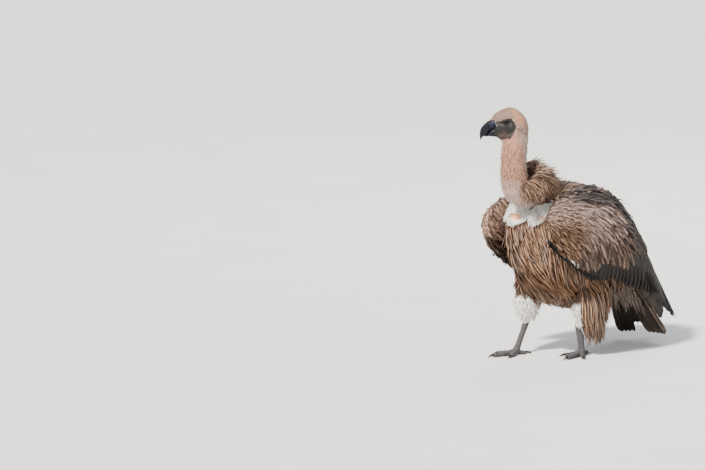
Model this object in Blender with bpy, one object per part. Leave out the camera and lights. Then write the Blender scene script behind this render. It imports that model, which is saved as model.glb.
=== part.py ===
"""A white-backed vulture, life size, standing with its head turned to its right.

Metres, +Z up. The bird faces -Y and its left side is +X. The floor is Z = 0.
Every piece is one closed body; neighbours are parted by GAP.
"""

import math

import bmesh
import bpy
from mathutils import Matrix, Vector

# ---------------------------------------------------------------- driving dimensions
GAP = 0.00035  # clear space between neighbouring pieces
CENTRE = Vector((0.0, 0.0680, 0.0))  # middle of the whole bird's base, which ends up at the origin

HEAD_AT = Vector((-0.0100, -0.2104, 0.7162))  # middle of the head, level with the eyes
HEAD_TURN = math.radians(42)  # towards the bird's right
HEAD_PITCH = math.radians(20)  # bill down
EYE_RADIUS = 0.0105
EYE_OFFSET = 0.0166  # from the middle plane to the middle of an eye
EYE_AHEAD = 0.0042
EYE_ABOVE = 0.0024

TARSUS_RADIUS = 0.0088
TOE_RADIUS = 0.0076
SOLE_CUT = 0.0011  # how much of a toe's round underside is flat

SIDES = {"left": 1, "right": -1}
X, Y, Z = Vector((1, 0, 0)), Vector((0, 1, 0)), Vector((0, 0, 1))


# ---------------------------------------------------------------- curves and rings
def flat_row(row):
    return [number for item in row for number in (item if hasattr(item, "__len__") else [item])]


def spline(rows, count):
    """count rows evenly along a Catmull-Rom curve through rows of equal length. A row may hold
    points among its numbers, and they are laid out flat."""
    rows = [flat_row(row) for row in rows]
    first = [2 * a - b for a, b in zip(rows[0], rows[1])]
    last = [2 * a - b for a, b in zip(rows[-1], rows[-2])]
    knots = [first, *rows, last]
    made = []
    for i in range(count):
        t = i / (count - 1) * (len(rows) - 1)
        k = min(int(t), len(rows) - 2)
        f = t - k
        p0, p1, p2, p3 = knots[k : k + 4]
        made.append([
            b + 0.5 * f * (c - a + f * (2 * a - 5 * b + 4 * c - d + f * (3 * b - a - 3 * c + d)))
            for a, b, c, d in zip(p0, p1, p2, p3)
        ])
    return made


def power(value, exponent):
    return math.copysign(abs(value) ** exponent, value)


def oval(centre, side, up, width, above, below=None, points=16, square=1.0):
    """A ring about centre: half its width along side, and its reach above and below along up.
    square below 1 fills the corners, and above 1 pinches them."""
    below = above if below is None else below
    ring = []
    for i in range(points):
        a = 2 * math.pi * (i + 0.5) / points
        across, rise = power(math.cos(a), square), power(math.sin(a), square)
        ring.append(centre + side * (width * across) + up * ((above if rise > 0 else below) * rise))
    return ring


def tube_rings(rows, count, points=12, side=X):
    """Rings square to a path. Each row is a point, its half-width and its half-depth."""
    rows = spline(rows, count)
    rings = []
    for i, row in enumerate(rows):
        here = Vector(row[:3])
        ahead = Vector(rows[min(i + 1, count - 1)][:3]) - Vector(rows[max(i - 1, 0)][:3])
        along = ahead.normalized()
        up = along.cross(side).normalized()
        across = up.cross(along)
        rings.append(oval(here, across, up, row[3], row[4], points=points))
    return rings


# ---------------------------------------------------------------- making solids
def clear_scene():
    for obj in list(bpy.data.objects):
        bpy.data.objects.remove(obj)


def new_object(name, bm, collection):
    bmesh.ops.recalc_face_normals(bm, faces=bm.faces)
    bmesh.ops.triangulate(bm, faces=bm.faces)
    mesh = bpy.data.meshes.new(name)
    bm.to_mesh(mesh)
    bm.free()
    obj = bpy.data.objects.new(name, mesh)
    collection.objects.link(obj)
    return obj


def loft(name, rings, collection, flat=False):
    """One closed body through rings of equal point count. Each end closes on its own middle, or
    where the rings are flat, with a strip between the ring's two long sides."""
    bm = bmesh.new()
    loops = [[bm.verts.new(p) for p in ring] for ring in rings]
    for a, b in zip(loops, loops[1:]):
        for i in range(len(a)):
            j = (i + 1) % len(a)
            bm.faces.new((a[i], a[j], b[j], b[i]))
    for loop in (loops[0], loops[-1]):
        if flat:
            for i in range(len(loop) // 2 - 1):
                bm.faces.new((loop[i], loop[i + 1], loop[-2 - i], loop[-1 - i]))
            continue
        middle = bm.verts.new(sum((v.co for v in loop), Vector()) / len(loop))
        for i in range(len(loop)):
            bm.faces.new((loop[i], loop[(i + 1) % len(loop)], middle))
    return new_object(name, bm, collection)


def ball(name, centre, radius, collection, rings=6):
    bm = bmesh.new()
    bmesh.ops.create_uvsphere(
        bm, u_segments=2 * rings, v_segments=rings, radius=radius, matrix=Matrix.Translation(centre)
    )
    return new_object(name, bm, collection)


def swollen(obj, by):
    """A copy of obj with every vertex moved out by that much, to cut its neighbours with."""
    mesh = obj.data.copy()
    moved = [v.co + v.normal * by for v in mesh.vertices]
    for v, place in zip(mesh.vertices, moved):
        v.co = place
    cutter = bpy.data.objects.new(obj.name + "_cutter", mesh)
    cutter.hide_render = True
    cutter.display_type = "WIRE"
    bpy.data.collections["cutters"].objects.link(cutter)
    return cutter


def boolean(obj, other, operation):
    modifier = obj.modifiers.new(operation.lower(), "BOOLEAN")
    modifier.operation = operation
    modifier.object = other
    modifier.solver = "EXACT"
    graph = bpy.context.evaluated_depsgraph_get()
    mesh = bpy.data.meshes.new_from_object(obj.evaluated_get(graph))
    obj.modifiers.clear()
    obj.data = mesh


def part_neighbours(order):
    """Cuts each piece back from the neighbours it gives way to, and keeps its largest body.
    order maps a piece's name to those neighbours, which cut with the shapes they were built with."""
    names = {name for given in order.values() for name in given}
    cutters = {name: swollen(bpy.data.objects[name], GAP) for name in sorted(names)}
    for name, given in order.items():
        for neighbour in given:
            boolean(bpy.data.objects[name], cutters[neighbour], "DIFFERENCE")
        keep_largest(bpy.data.objects[name])
    for cutter in cutters.values():
        bpy.data.objects.remove(cutter)


def keep_largest(obj):
    bm = bmesh.new()
    bm.from_mesh(obj.data)
    todo, bodies = set(bm.verts), []
    while todo:
        found, edge = set(), [todo.pop()]
        while edge:
            v = edge.pop()
            found.add(v)
            fresh = {e.other_vert(v) for e in v.link_edges} - found
            edge += [w for w in fresh if w in todo]
            todo -= fresh
        bodies.append(found)
    bodies.sort(key=len)
    bmesh.ops.delete(bm, geom=[v for body in bodies[:-1] for v in body], context="VERTS")
    bm.to_mesh(obj.data)
    bm.free()


def halfspace(point, normal, reach=1.0):
    """A big box with one face through point, lying on the side that normal points to."""
    turn = Z.rotation_difference(normal).to_matrix().to_4x4()
    bm = bmesh.new()
    bmesh.ops.create_cube(
        bm, size=reach, matrix=Matrix.Translation(point) @ turn @ Matrix.Translation((0, 0, reach / 2))
    )
    box = new_object("halfspace", bm, bpy.data.collections["cutters"])
    box.hide_render = True
    box.display_type = "WIRE"
    return box


def trim(obj, point, normal):
    """Cuts away what lies on the normal's side of a plane."""
    box = halfspace(point, normal)
    boolean(obj, box, "DIFFERENCE")
    bpy.data.objects.remove(box)


def split(obj, point, normal, name_ahead, collection):
    """Parts obj by a thin plane cut. What lies on the normal's side becomes a new object."""
    ahead = bpy.data.objects.new(name_ahead, obj.data.copy())
    collection.objects.link(ahead)
    trim(ahead, point + normal * (GAP / 2), -normal)
    trim(obj, point - normal * (GAP / 2), normal)
    return ahead


# ---------------------------------------------------------------- head
def head_frame():
    """Maps (forward, left, up) of the head to the bird frame."""
    forward = Vector((-math.sin(HEAD_TURN), -math.cos(HEAD_TURN), 0))
    left = Z.cross(forward)
    nose = forward * math.cos(HEAD_PITCH) - Z * math.sin(HEAD_PITCH)
    crown = Z * math.cos(HEAD_PITCH) + forward * math.sin(HEAD_PITCH)
    return Matrix((
        (nose.x, left.x, crown.x, HEAD_AT.x),
        (nose.y, left.y, crown.y, HEAD_AT.y),
        (nose.z, left.z, crown.z, HEAD_AT.z),
        (0, 0, 0, 1),
    ))


def profile_rings(rows, count, points=16, square=1.0):
    """Upright rings along the head's length. Each row is (forward, top, bottom, half-width)."""
    frame = head_frame()
    rings = []
    for forward, top, bottom, width in spline(rows, count):
        middle, reach = (top + bottom) / 2, (top - bottom) / 2
        ring = oval(Vector((forward, 0, middle)), Y, Z, width, reach, points=points, square=square)
        rings.append([frame @ p for p in ring])
    return rings


def make_head(collection):
    skull = [
        (0.0500, 0.0080, -0.0220, 0.0080),
        (0.0455, 0.0195, -0.0340, 0.0130),
        (0.0380, 0.0290, -0.0480, 0.0178),
        (0.0260, 0.0358, -0.0570, 0.0222),
        (0.0110, 0.0386, -0.0605, 0.0258),
        (-0.0040, 0.0392, -0.0620, 0.0288),
        (-0.0180, 0.0378, -0.0620, 0.0305),
        (-0.0300, 0.0305, -0.0620, 0.0300),
        (-0.0400, 0.0180, -0.0590, 0.0265),
        (-0.0465, 0.0060, -0.0470, 0.0205),
        (-0.0510, -0.0100, -0.0290, 0.0100),
    ]
    upper = [
        (0.0270, 0.0185, -0.0055, 0.0165),
        (0.0320, 0.0218, -0.0045, 0.0205),
        (0.0400, 0.0240, -0.0042, 0.0192),
        (0.0490, 0.0232, -0.0056, 0.0165),
        (0.0570, 0.0198, -0.0085, 0.0148),
        (0.0650, 0.0165, -0.0125, 0.0134),
        (0.0730, 0.0128, -0.0160, 0.0118),
        (0.0790, 0.0088, -0.0168, 0.0100),
        (0.0840, 0.0040, -0.0166, 0.0082),
        (0.0880, -0.0018, -0.0168, 0.0062),
        (0.0908, -0.0090, -0.0190, 0.0044),
        (0.0925, -0.0155, -0.0225, 0.0030),
        (0.0938, -0.0215, -0.0260, 0.0014),
    ]
    lower = [
        (0.0240, -0.0075, -0.0340, 0.0125),
        (0.0340, -0.0052, -0.0365, 0.0142),
        (0.0440, -0.0055, -0.0345, 0.0138),
        (0.0540, -0.0084, -0.0292, 0.0124),
        (0.0640, -0.0130, -0.0243, 0.0104),
        (0.0720, -0.0167, -0.0216, 0.0074),
        (0.0790, -0.0176, -0.0204, 0.0036),
    ]
    loft("head", profile_rings(skull, 12, points=14), collection)
    loft("bill_lower", profile_rings(lower, 7, points=10), collection)
    cere = loft("cere", profile_rings(upper, 17, points=12), collection)
    slant = head_frame().to_3x3() @ Vector((0.947, 0, 0.320))
    split(cere, head_frame() @ Vector((0.0530, 0, 0.008)), slant, "bill_upper", collection)
    for name, side in SIDES.items():
        place = Vector((EYE_AHEAD, side * EYE_OFFSET, EYE_ABOVE))
        ball("eye_" + name, head_frame() @ place, EYE_RADIUS, collection)


# ---------------------------------------------------------------- neck and ruff
def make_neck(collection):
    """Two lengths of neck. The lower one swells into the crop."""
    path = [
        (-0.003, -0.187, 0.705, 0.026, 0.024),
        (0.004, -0.1883, 0.679, 0.0345, 0.0345),
        (0.003, -0.1932, 0.6586, 0.0375, 0.0375),
        (0.002, -0.1960, 0.6293, 0.0375, 0.0378),
        (0.000, -0.1978, 0.5997, 0.0365, 0.0370),
        (0.000, -0.1961, 0.5552, 0.0380, 0.0386),
        (0.000, -0.1862, 0.5187, 0.0400, 0.0405),
        (0.000, -0.1700, 0.4990, 0.0395, 0.0390),
        (0.000, -0.1450, 0.4880, 0.0340, 0.0340),
        (0.000, -0.1150, 0.4850, 0.0260, 0.0250),
    ]
    upper = loft("neck_upper", tube_rings(path, 13, points=14), collection)
    split(upper, Vector((0, -0.197, 0.592)), -Z, "neck_lower", collection)


def make_ruff(collection):
    """A raised collar of long feathers round the back and sides of the neck's base, in two halves."""
    base = Vector((0.0, -0.172, 0.490))
    steps = 11
    for name, side in SIDES.items():
        rings = []
        for i in range(steps):
            turn = math.radians(0.2 + 130 * i / (steps - 1))
            fade = math.cos(turn / 2) ** 1.5
            out = Vector((side * math.sin(turn), math.cos(turn), 0))
            lean = 0.15 - 0.75 * fade
            rise = Z * math.cos(lean) + out * math.sin(lean)
            flat = out * math.cos(lean) - Z * math.sin(lean)
            middle = base + out * (0.048 + 0.032 * fade) + Z * (0.004 + 0.056 * fade)
            rings.append(oval(middle, flat, rise, 0.009 + 0.019 * fade, 0.014 + 0.040 * fade, points=10))
        loft("ruff_" + name, rings, collection)


# ---------------------------------------------------------------- trunk and tail
def trunk_rings(rows, count, points=18):
    """Rings round the trunk. Each row is the back's (y, z), the belly's (y, z) and a half-width."""
    rings = []
    for by, bz, vy, vz, width in spline(rows, count):
        back, belly = Vector((0, by, bz)), Vector((0, vy, vz))
        up = (back - belly) / 2
        rings.append(oval((back + belly) / 2, X, up.normalized(), width, up.length, points=points))
    return rings


def make_trunk(collection):
    rows = [
        ((-0.130, 0.462), (-0.150, 0.435), 0.034),
        ((-0.125, 0.476), (-0.157, 0.412), 0.066),
        ((-0.104, 0.503), (-0.165, 0.362), 0.094),
        ((-0.072, 0.521), (-0.158, 0.282), 0.114),
        ((-0.028, 0.523), (-0.124, 0.206), 0.128),
        ((0.030, 0.510), (-0.066, 0.157), 0.134),
        ((0.085, 0.488), (0.006, 0.139), 0.130),
        ((0.130, 0.445), (0.072, 0.144), 0.112),
        ((0.172, 0.380), (0.130, 0.157), 0.088),
        ((0.205, 0.312), (0.178, 0.163), 0.062),
        ((0.228, 0.258), (0.213, 0.165), 0.040),
    ]
    loft("trunk", trunk_rings(rows, 13), collection)


def make_tail(collection):
    """A half-spread fan of long feathers, arched across and thinning to its end."""
    rows = [
        ((0.205, 0.262), 0.030, 0.014, 0.000),
        ((0.235, 0.210), 0.044, 0.011, 0.003),
        ((0.270, 0.148), 0.056, 0.008, 0.005),
        ((0.308, 0.086), 0.066, 0.006, 0.006),
        ((0.338, 0.040), 0.072, 0.004, 0.006),
        ((0.349, 0.023), 0.068, 0.003, 0.005),
    ]
    half = 6
    rings = []
    stations = spline(rows, 9)
    for i, (y, z, width, thick, arch) in enumerate(stations):
        ahead = Vector((0, *stations[min(i + 1, 8)][:2])) - Vector((0, *stations[max(i - 1, 0)][:2]))
        out = ahead.normalized().cross(X)
        out *= math.copysign(1, out.z)
        edge = [-1 + 2 * k / half for k in range(half + 1)]
        ring = []
        for face, places in ((1, edge), (-1, edge[::-1])):
            for e in places:
                rise = face * thick * (1 - 0.7 * e * e) - arch * e * e
                ring.append(Vector((width * e, y, z)) + out * rise)
        rings.append(ring)
    loft("tail", rings, collection, flat=True)


# ---------------------------------------------------------------- wings
# Each row of the folded left wing: its top edge, its widest point, its lower edge, its thickness.
WING_ROWS = [
    ((0.118, -0.174, 0.454), (0.152, -0.190, 0.418), (0.142, -0.176, 0.372), 0.030),
    ((0.098, -0.130, 0.486), (0.167, -0.142, 0.412), (0.150, -0.143, 0.334), 0.050),
    ((0.070, -0.065, 0.507), (0.174, -0.075, 0.398), (0.150, -0.085, 0.294), 0.045),
    ((0.045, 0.008, 0.512), (0.172, 0.008, 0.378), (0.141, -0.018, 0.258), 0.032),
    ((0.030, 0.080, 0.504), (0.166, 0.084, 0.352), (0.128, 0.045, 0.231), 0.022),
    ((0.020, 0.143, 0.482), (0.155, 0.148, 0.322), (0.121, 0.115, 0.222), 0.016),
    ((0.016, 0.200, 0.444), (0.138, 0.202, 0.287), (0.107, 0.165, 0.193), 0.013),
    ((0.016, 0.252, 0.382), (0.115, 0.252, 0.244), (0.095, 0.230, 0.178), 0.011),
    ((0.020, 0.300, 0.298), (0.089, 0.300, 0.192), (0.080, 0.287, 0.150), 0.009),
    ((0.028, 0.345, 0.196), (0.066, 0.347, 0.135), (0.062, 0.345, 0.108), 0.006),
    ((0.044, 0.408, 0.082), (0.050, 0.410, 0.074), (0.050, 0.408, 0.066), 0.004),
]
WING_RINGS = 15
PRIMARIES_FROM = 9  # the ring where the arm and secondaries end
ARM_SHARE = 0.72  # of each ring, from its top
WING_SLIT = 0.0012  # half the slit between arm and secondaries, as a share of the ring
WING_DROOP = {"left": 0.0, "right": 0.036}  # how much lower the lower edge hangs


def wing_ring(row, stations, droop):
    """A closed crescent: the outer curve through a row's three points, and that curve moved inwards."""
    top, bulge, low, thick = Vector(row[0:3]), Vector(row[3:6]), Vector(row[6:9]), row[9]
    bulge -= Z * (0.45 * droop)
    low -= Z * droop
    outer, inner = [], []
    for v in stations:
        place = top * (2 * (v - 0.5) * (v - 1)) + bulge * (4 * v * (1 - v)) + low * (2 * v * (v - 0.5))
        inwards = (Vector((0, place.y, bulge.z)) - place).normalized()
        depth = thick * (0.35 + 0.65 * math.sin(math.pi * v) ** 0.7)
        outer.append(place)
        inner.append(place + inwards * depth)
    return outer + inner[::-1]


def make_wing(name, side, collection):
    """One folded wing, parted into the arm with its coverts, the secondaries and the primaries."""
    rows = spline(WING_ROWS, WING_RINGS)
    above = [ARM_SHARE * i / 6 for i in range(7)]
    below = [ARM_SHARE + (1 - ARM_SHARE) * i / 4 for i in range(5)]
    above[-1] -= WING_SLIT
    below[0] += WING_SLIT
    for piece, first, last, stations in (
        ("arm", 0, PRIMARIES_FROM, above),
        ("secondaries", 0, PRIMARIES_FROM, below),
        ("primaries", PRIMARIES_FROM, WING_RINGS - 1, above + below),
    ):
        used = [list(row) for row in rows[first : last + 1]]
        end, beyond = (0, 1) if piece == "primaries" else (-1, -2)
        used[end] = [a + (b - a) * 0.015 for a, b in zip(used[end], used[beyond])]
        rings = [wing_ring(row, stations, WING_DROOP[name]) for row in used]
        rings = [[Vector((side * p.x, p.y, p.z)) for p in ring] for ring in rings]
        loft(f"wing_{name}_{piece}", rings, collection, flat=True)


# ---------------------------------------------------------------- legs
# Hip, knee-level bulk, ankle and foot of each leg, and which way its middle toe points.
LEGS = {
    "left": {
        "thigh": [
            ((0.070, 0.020, 0.260), 0.030, 0.050),
            ((0.080, 0.030, 0.210), 0.046, 0.066),
            ((0.082, 0.038, 0.165), 0.048, 0.070),
            ((0.078, 0.046, 0.125), 0.040, 0.062),
            ((0.072, 0.056, 0.090), 0.030, 0.048),
            ((0.070, 0.064, 0.062), 0.020, 0.032),
            ((0.068, 0.067, 0.044), 0.009, 0.016),
        ],
        "ankle": Vector((0.060, 0.018, 0.102)),
        "foot": Vector((0.060, 0.023, 0.014)),
        "toe_turn": math.radians(14),
    },
    "right": {
        "thigh": [
            ((-0.070, -0.030, 0.260), 0.030, 0.045),
            ((-0.078, -0.050, 0.215), 0.038, 0.058),
            ((-0.080, -0.062, 0.175), 0.036, 0.052),
            ((-0.080, -0.067, 0.140), 0.034, 0.044),
            ((-0.080, -0.070, 0.112), 0.026, 0.032),
            ((-0.080, -0.070, 0.092), 0.014, 0.017),
        ],
        "ankle": Vector((-0.080, -0.069, 0.096)),
        "foot": Vector((-0.080, -0.110, 0.014)),
        "toe_turn": math.radians(-12),
    },
}
# Each toe: its turn from the middle toe (towards the outside), length, thickness, claw length.
TOES = {
    "middle": (0, 0.074, 1.00, 0.022),
    "inner": (-40, 0.046, 0.95, 0.022),
    "outer": (38, 0.048, 0.90, 0.018),
    "hind": (188, 0.028, 0.85, 0.021),
}
# Along the tarsus from the ankle to the foot: the place, and the width in tarsus radii.
TARSUS_ROWS = (
    (-0.10, 0.95), (0.05, 1.18), (0.25, 1.0), (0.75, 0.95), (0.92, 1.15), (1.04, 1.35), (1.10, 0.8),
)
# Along a toe: the place, the rise above the sole, and the width in toe radii, swelling at the pads.
TOE_ROWS = (
    (0.00, 0.0045, 1.00), (0.18, 0.0030, 1.10), (0.42, 0.0012, 0.95), (0.55, 0.0, 1.08),
    (0.78, 0.0, 0.90), (0.92, 0.0, 0.98), (1.00, 0.0004, 0.62),
)
# Along a claw in the same way, from its root inside the toe down to its tip.
CLAW_ROWS = (
    (-0.25, 0.0, 0.40), (0.0, 0.0010, 0.46), (0.35, 0.0006, 0.38),
    (0.70, -0.0018, 0.26), (1.00, -0.0048, 0.10),
)


def make_thigh(name, collection):
    rows = [(*point, across, along) for point, across, along in LEGS[name]["thigh"]]
    loft("thigh_" + name, tube_rings(rows, 9, points=12), collection)


def make_tarsus(name, collection):
    ankle, foot = LEGS[name]["ankle"], LEGS[name]["foot"]
    rows = []
    for t, wide in TARSUS_ROWS:
        rows.append((ankle.lerp(foot, t), TARSUS_RADIUS * wide, TARSUS_RADIUS * wide))
    loft("tarsus_" + name, tube_rings(rows, 9, points=8), collection)


def make_toes(name, side, collection):
    """Four toes on flat soles, each with its own claw."""
    leg = LEGS[name]
    for toe, (turn, length, thick, claw) in TOES.items():
        angle = leg["toe_turn"] + side * math.radians(turn)
        out = Vector((math.sin(angle), -math.cos(angle), 0))
        across = Vector((math.cos(angle), math.sin(angle), 0))
        radius = TOE_RADIUS * thick
        level = radius - SOLE_CUT
        start = Vector((leg["foot"].x, leg["foot"].y, 0)) + out * 0.004
        rows = []
        for t, rise, wide in TOE_ROWS:
            place = start + out * (length * t) + Z * (level * max(wide, 0.9) + rise)
            rows.append((place, radius * wide, radius * wide))
        piece = loft(f"toe_{name}_{toe}", tube_rings(rows, 7, points=8, side=across), collection)
        horn = []
        for t, rise, wide in CLAW_ROWS:
            place = start + out * (length + claw * t) + Z * (level + rise)
            horn.append((place, TOE_RADIUS * wide * 0.9, TOE_RADIUS * wide * 1.15))
        talon = loft(f"claw_{name}_{toe}", tube_rings(horn, 6, points=6, side=across), collection)
        for obj in (piece, talon):
            trim(obj, Vector(), -Z)


# ---------------------------------------------------------------- finishes
FINISHES = {
    "head": ((0.60, 0.46, 0.38), 0.8),
    "neck": ((0.62, 0.44, 0.35), 0.8),
    "ruff": ((0.34, 0.23, 0.15), 0.9),
    "trunk": ((0.28, 0.18, 0.12), 0.9),
    "thigh": ((0.32, 0.21, 0.14), 0.9),
    "wing": ((0.17, 0.13, 0.10), 0.85),
    "tail": ((0.05, 0.04, 0.035), 0.8),
    "tarsus": ((0.16, 0.15, 0.16), 0.6),
    "toe": ((0.15, 0.14, 0.15), 0.6),
    "claw": ((0.03, 0.03, 0.03), 0.3),
    "bill": ((0.04, 0.04, 0.05), 0.3),
    "cere": ((0.06, 0.06, 0.08), 0.45),
    "eye": ((0.02, 0.012, 0.008), 0.1),
}


def finish(obj):
    kind = obj.name.split("_")[0]
    colour, roughness = FINISHES[kind]
    material = bpy.data.materials.get(kind)
    if material is None:
        material = bpy.data.materials.new(kind)
        material.use_nodes = True
        shader = material.node_tree.nodes["Principled BSDF"]
        shader.inputs["Base Color"].default_value = (*colour, 1)
        shader.inputs["Roughness"].default_value = roughness
    obj.data.materials.clear()
    obj.data.materials.append(material)
    obj.data.shade_smooth()


def main():
    clear_scene()
    bird = bpy.data.collections.new("white_backed_vulture")
    cutters = bpy.data.collections.new("cutters")
    for collection in (bird, cutters):
        bpy.context.scene.collection.children.link(collection)
    make_head(bird)
    make_neck(bird)
    make_ruff(bird)
    make_trunk(bird)
    make_tail(bird)
    for name, side in SIDES.items():
        make_wing(name, side, bird)
        make_thigh(name, bird)
        make_tarsus(name, bird)
        make_toes(name, side, bird)

    feathered = [f"wing_{name}_{piece}" for name in SIDES for piece in ("arm", "secondaries", "primaries")]
    ruffs = ["ruff_left", "ruff_right"]
    order = {
        "bill_lower": ["cere", "bill_upper"],
        "head": ["cere", "bill_upper", "bill_lower", "eye_left", "eye_right"],
        "neck_upper": ["head"],
        "ruff_left": ["neck_upper", "neck_lower", *feathered],
        "ruff_right": ["neck_upper", "neck_lower", *feathered],
        "tail": ["trunk", *feathered],
        "trunk": ["neck_lower", *ruffs, *feathered],
    }
    for name in SIDES:
        toes = [f"toe_{name}_{toe}" for toe in TOES]
        order["thigh_" + name] = ["trunk", "tail", *feathered]
        order["tarsus_" + name] = ["thigh_" + name, *toes]
        for i, toe in enumerate(TOES):
            order[toes[i]] = [f"claw_{name}_{toe}", *toes[:i]]
    part_neighbours(order)
    bpy.data.collections.remove(cutters)
    for obj in bird.objects:
        finish(obj)
        obj.location = -CENTRE


main()
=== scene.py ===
"""Looks for the life-size white-backed vulture: one skin, horn, eyes and a coat of feathers.

Metres, +Z up. The bird faces -Y, its left side is +X, and the floor is Z = 0. Every place is in
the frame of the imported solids, and the solids' own shapes guide the skin and the coat.
"""

import contextlib
import itertools
import math

import bmesh
import bpy
import numpy as np
from mathutils import Matrix, Vector
from mathutils.bvhtree import BVHTree


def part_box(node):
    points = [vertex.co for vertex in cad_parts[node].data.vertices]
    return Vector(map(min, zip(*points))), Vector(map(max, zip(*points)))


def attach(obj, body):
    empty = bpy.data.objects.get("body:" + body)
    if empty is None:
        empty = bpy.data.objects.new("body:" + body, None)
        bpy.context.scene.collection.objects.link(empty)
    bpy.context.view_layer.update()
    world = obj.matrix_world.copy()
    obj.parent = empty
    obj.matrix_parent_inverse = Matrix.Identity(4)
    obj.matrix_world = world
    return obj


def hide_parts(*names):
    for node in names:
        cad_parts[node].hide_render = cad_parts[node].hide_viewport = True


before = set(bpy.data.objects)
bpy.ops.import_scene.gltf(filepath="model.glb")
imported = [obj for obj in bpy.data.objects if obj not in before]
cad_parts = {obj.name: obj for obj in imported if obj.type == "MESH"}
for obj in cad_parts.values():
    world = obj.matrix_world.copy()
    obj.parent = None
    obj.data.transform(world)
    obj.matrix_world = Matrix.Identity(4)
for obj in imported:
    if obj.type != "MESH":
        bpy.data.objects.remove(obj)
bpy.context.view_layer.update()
SIDES = {"left": 1, "right": -1}
X, Y, Z = np.eye(3)


# ---------------------------------------------------------------- small maths
def srgb(code):
    """A linear colour from a hex code."""
    parts = np.array([int(code[i : i + 2], 16) for i in (0, 2, 4)]) / 255
    return np.where(parts <= 0.04045, parts / 12.92, ((parts + 0.055) / 1.055) ** 2.4)


def unit(vectors):
    return vectors / np.maximum(np.linalg.norm(vectors, axis=-1, keepdims=True), 1e-12)


def mix(a, b, share):
    return a + (b - a) * share


def ramp(values, low, high):
    """0 below low, 1 above high, and a smooth step between."""
    t = np.clip((values - low) / (high - low), 0, 1)
    return t * t * (3 - 2 * t)


def hump(values, middle, width):
    """1 at the middle, fading to 0 on both sides of it."""
    return np.exp(-(((values - middle) / width) ** 2))


def turn_of(count):
    """count angles round a full turn."""
    return np.linspace(0, 2 * math.pi, count, endpoint=False)


def noise(points, size, seed=0):
    """Smooth noise from -1 to 1, with lumps about that size."""
    places = np.asarray(points, float) / size
    cell = np.floor(places).astype(np.int64)
    part = places - cell
    part = part * part * (3 - 2 * part)
    total = 0
    for corner in itertools.product((0, 1), repeat=3):
        mixed = (cell + corner) @ np.array([73856093, 19349663, 83492791]) + seed * 2654435
        mixed = (mixed ^ (mixed >> 13)) * 1274126177 & 0x7FFFFFFF
        value = ((mixed >> 8) & 0xFFFF) / 32767.5 - 1
        total = total + value * np.prod(np.where(corner, part, 1 - part), axis=-1)
    return total


def spline(rows, count):
    """count rows evenly along a Catmull-Rom curve through rows."""
    rows = np.asarray(rows, float)
    knots = np.vstack([2 * rows[0] - rows[1], rows, 2 * rows[-1] - rows[-2]])
    t = np.linspace(0, len(rows) - 1, count)
    k = np.minimum(t.astype(int), len(rows) - 2)
    f = (t - k)[:, None]
    a, b, c, d = (knots[k + i] for i in range(4))
    return b + 0.5 * f * (c - a + f * (2 * a - 5 * b + 4 * c - d + f * (3 * b - a - 3 * c + d)))


# ---------------------------------------------------------------- meshes
def read(items, name, width, kind=np.float32):
    """One property of many items, as an array with width numbers for each."""
    values = np.empty(len(items) * width, kind)
    items.foreach_get(name, values)
    return values.reshape(-1, width) if width > 1 else values


def points_of(mesh):
    return read(mesh.vertices, "co", 3).astype(float)


def normals_of(mesh):
    return read(mesh.vertex_normals, "vector", 3).astype(float)


def write_points(mesh, points):
    mesh.vertices.foreach_set("co", points.astype(np.float32).ravel())
    mesh.update()


def new_object(name, mesh):
    obj = bpy.data.objects.new(name, mesh)
    bpy.context.scene.collection.objects.link(obj)
    return obj


def mesh_of(name, points, faces):
    """A new mesh of these points and faces."""
    mesh = bpy.data.meshes.new(name)
    mesh.from_pydata([tuple(p) for p in points], [], [tuple(f) for f in faces])
    mesh.update()
    return mesh


def tube(rings, ends=(True, True)):
    """Points and faces of a loft through rings of equal count, with its ends closed on their middles."""
    rings = np.asarray(rings, float)
    count, around = rings.shape[:2]
    points = list(rings.reshape(-1, 3))
    faces = []
    for i, j in itertools.product(range(count - 1), range(around)):
        k = (j + 1) % around
        faces.append((i * around + j, i * around + k, (i + 1) * around + k, (i + 1) * around + j))
    for ring, wanted in ((0, ends[0]), (count - 1, ends[1])):
        if wanted:
            points.append(rings[ring].mean(0))
            for j in range(around):
                pair = (ring * around + j, ring * around + (j + 1) % around)
                faces.append((*(pair[::-1] if ring == 0 else pair), len(points) - 1))
    return np.array(points), faces


@contextlib.contextmanager
def edited(mesh):
    """Opens a mesh for editing and writes it back."""
    bm = bmesh.new()
    bm.from_mesh(mesh)
    yield bm
    bm.to_mesh(mesh)
    bm.free()


def solid(name, points_and_faces):
    """A closed object whose faces all face outwards."""
    obj = new_object(name, mesh_of(name, *points_and_faces))
    with edited(obj.data) as bm:
        bmesh.ops.recalc_face_normals(bm, faces=bm.faces)
    return obj


def solids_together(nodes, swell=0.0):
    """Points and faces of some CAD nodes together, each swollen by that much."""
    points, faces = [], []
    for node in nodes:
        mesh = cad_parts[node].data
        start = len(points)
        normals = read(mesh.vertex_normals, "vector", 3)
        points.extend(read(mesh.vertices, "co", 3) + normals * swell)
        faces.extend([tuple(start + v for v in polygon.vertices) for polygon in mesh.polygons])
    return points, faces


def gathered(name, nodes, swell=0.0006):
    """One object holding copies of CAD nodes, swollen a little so that neighbours run together."""
    return new_object(name, mesh_of(name, *solids_together(nodes, swell)))


def bake_modifier(obj, kind, **settings):
    """Runs one modifier on the object and keeps its result as the mesh."""
    modifier = obj.modifiers.new(kind.lower(), kind)
    for key, value in settings.items():
        setattr(modifier, key, value)
    graph = bpy.context.evaluated_depsgraph_get()
    mesh = bpy.data.meshes.new_from_object(obj.evaluated_get(graph))
    obj.modifiers.clear()
    obj.data = mesh


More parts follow.
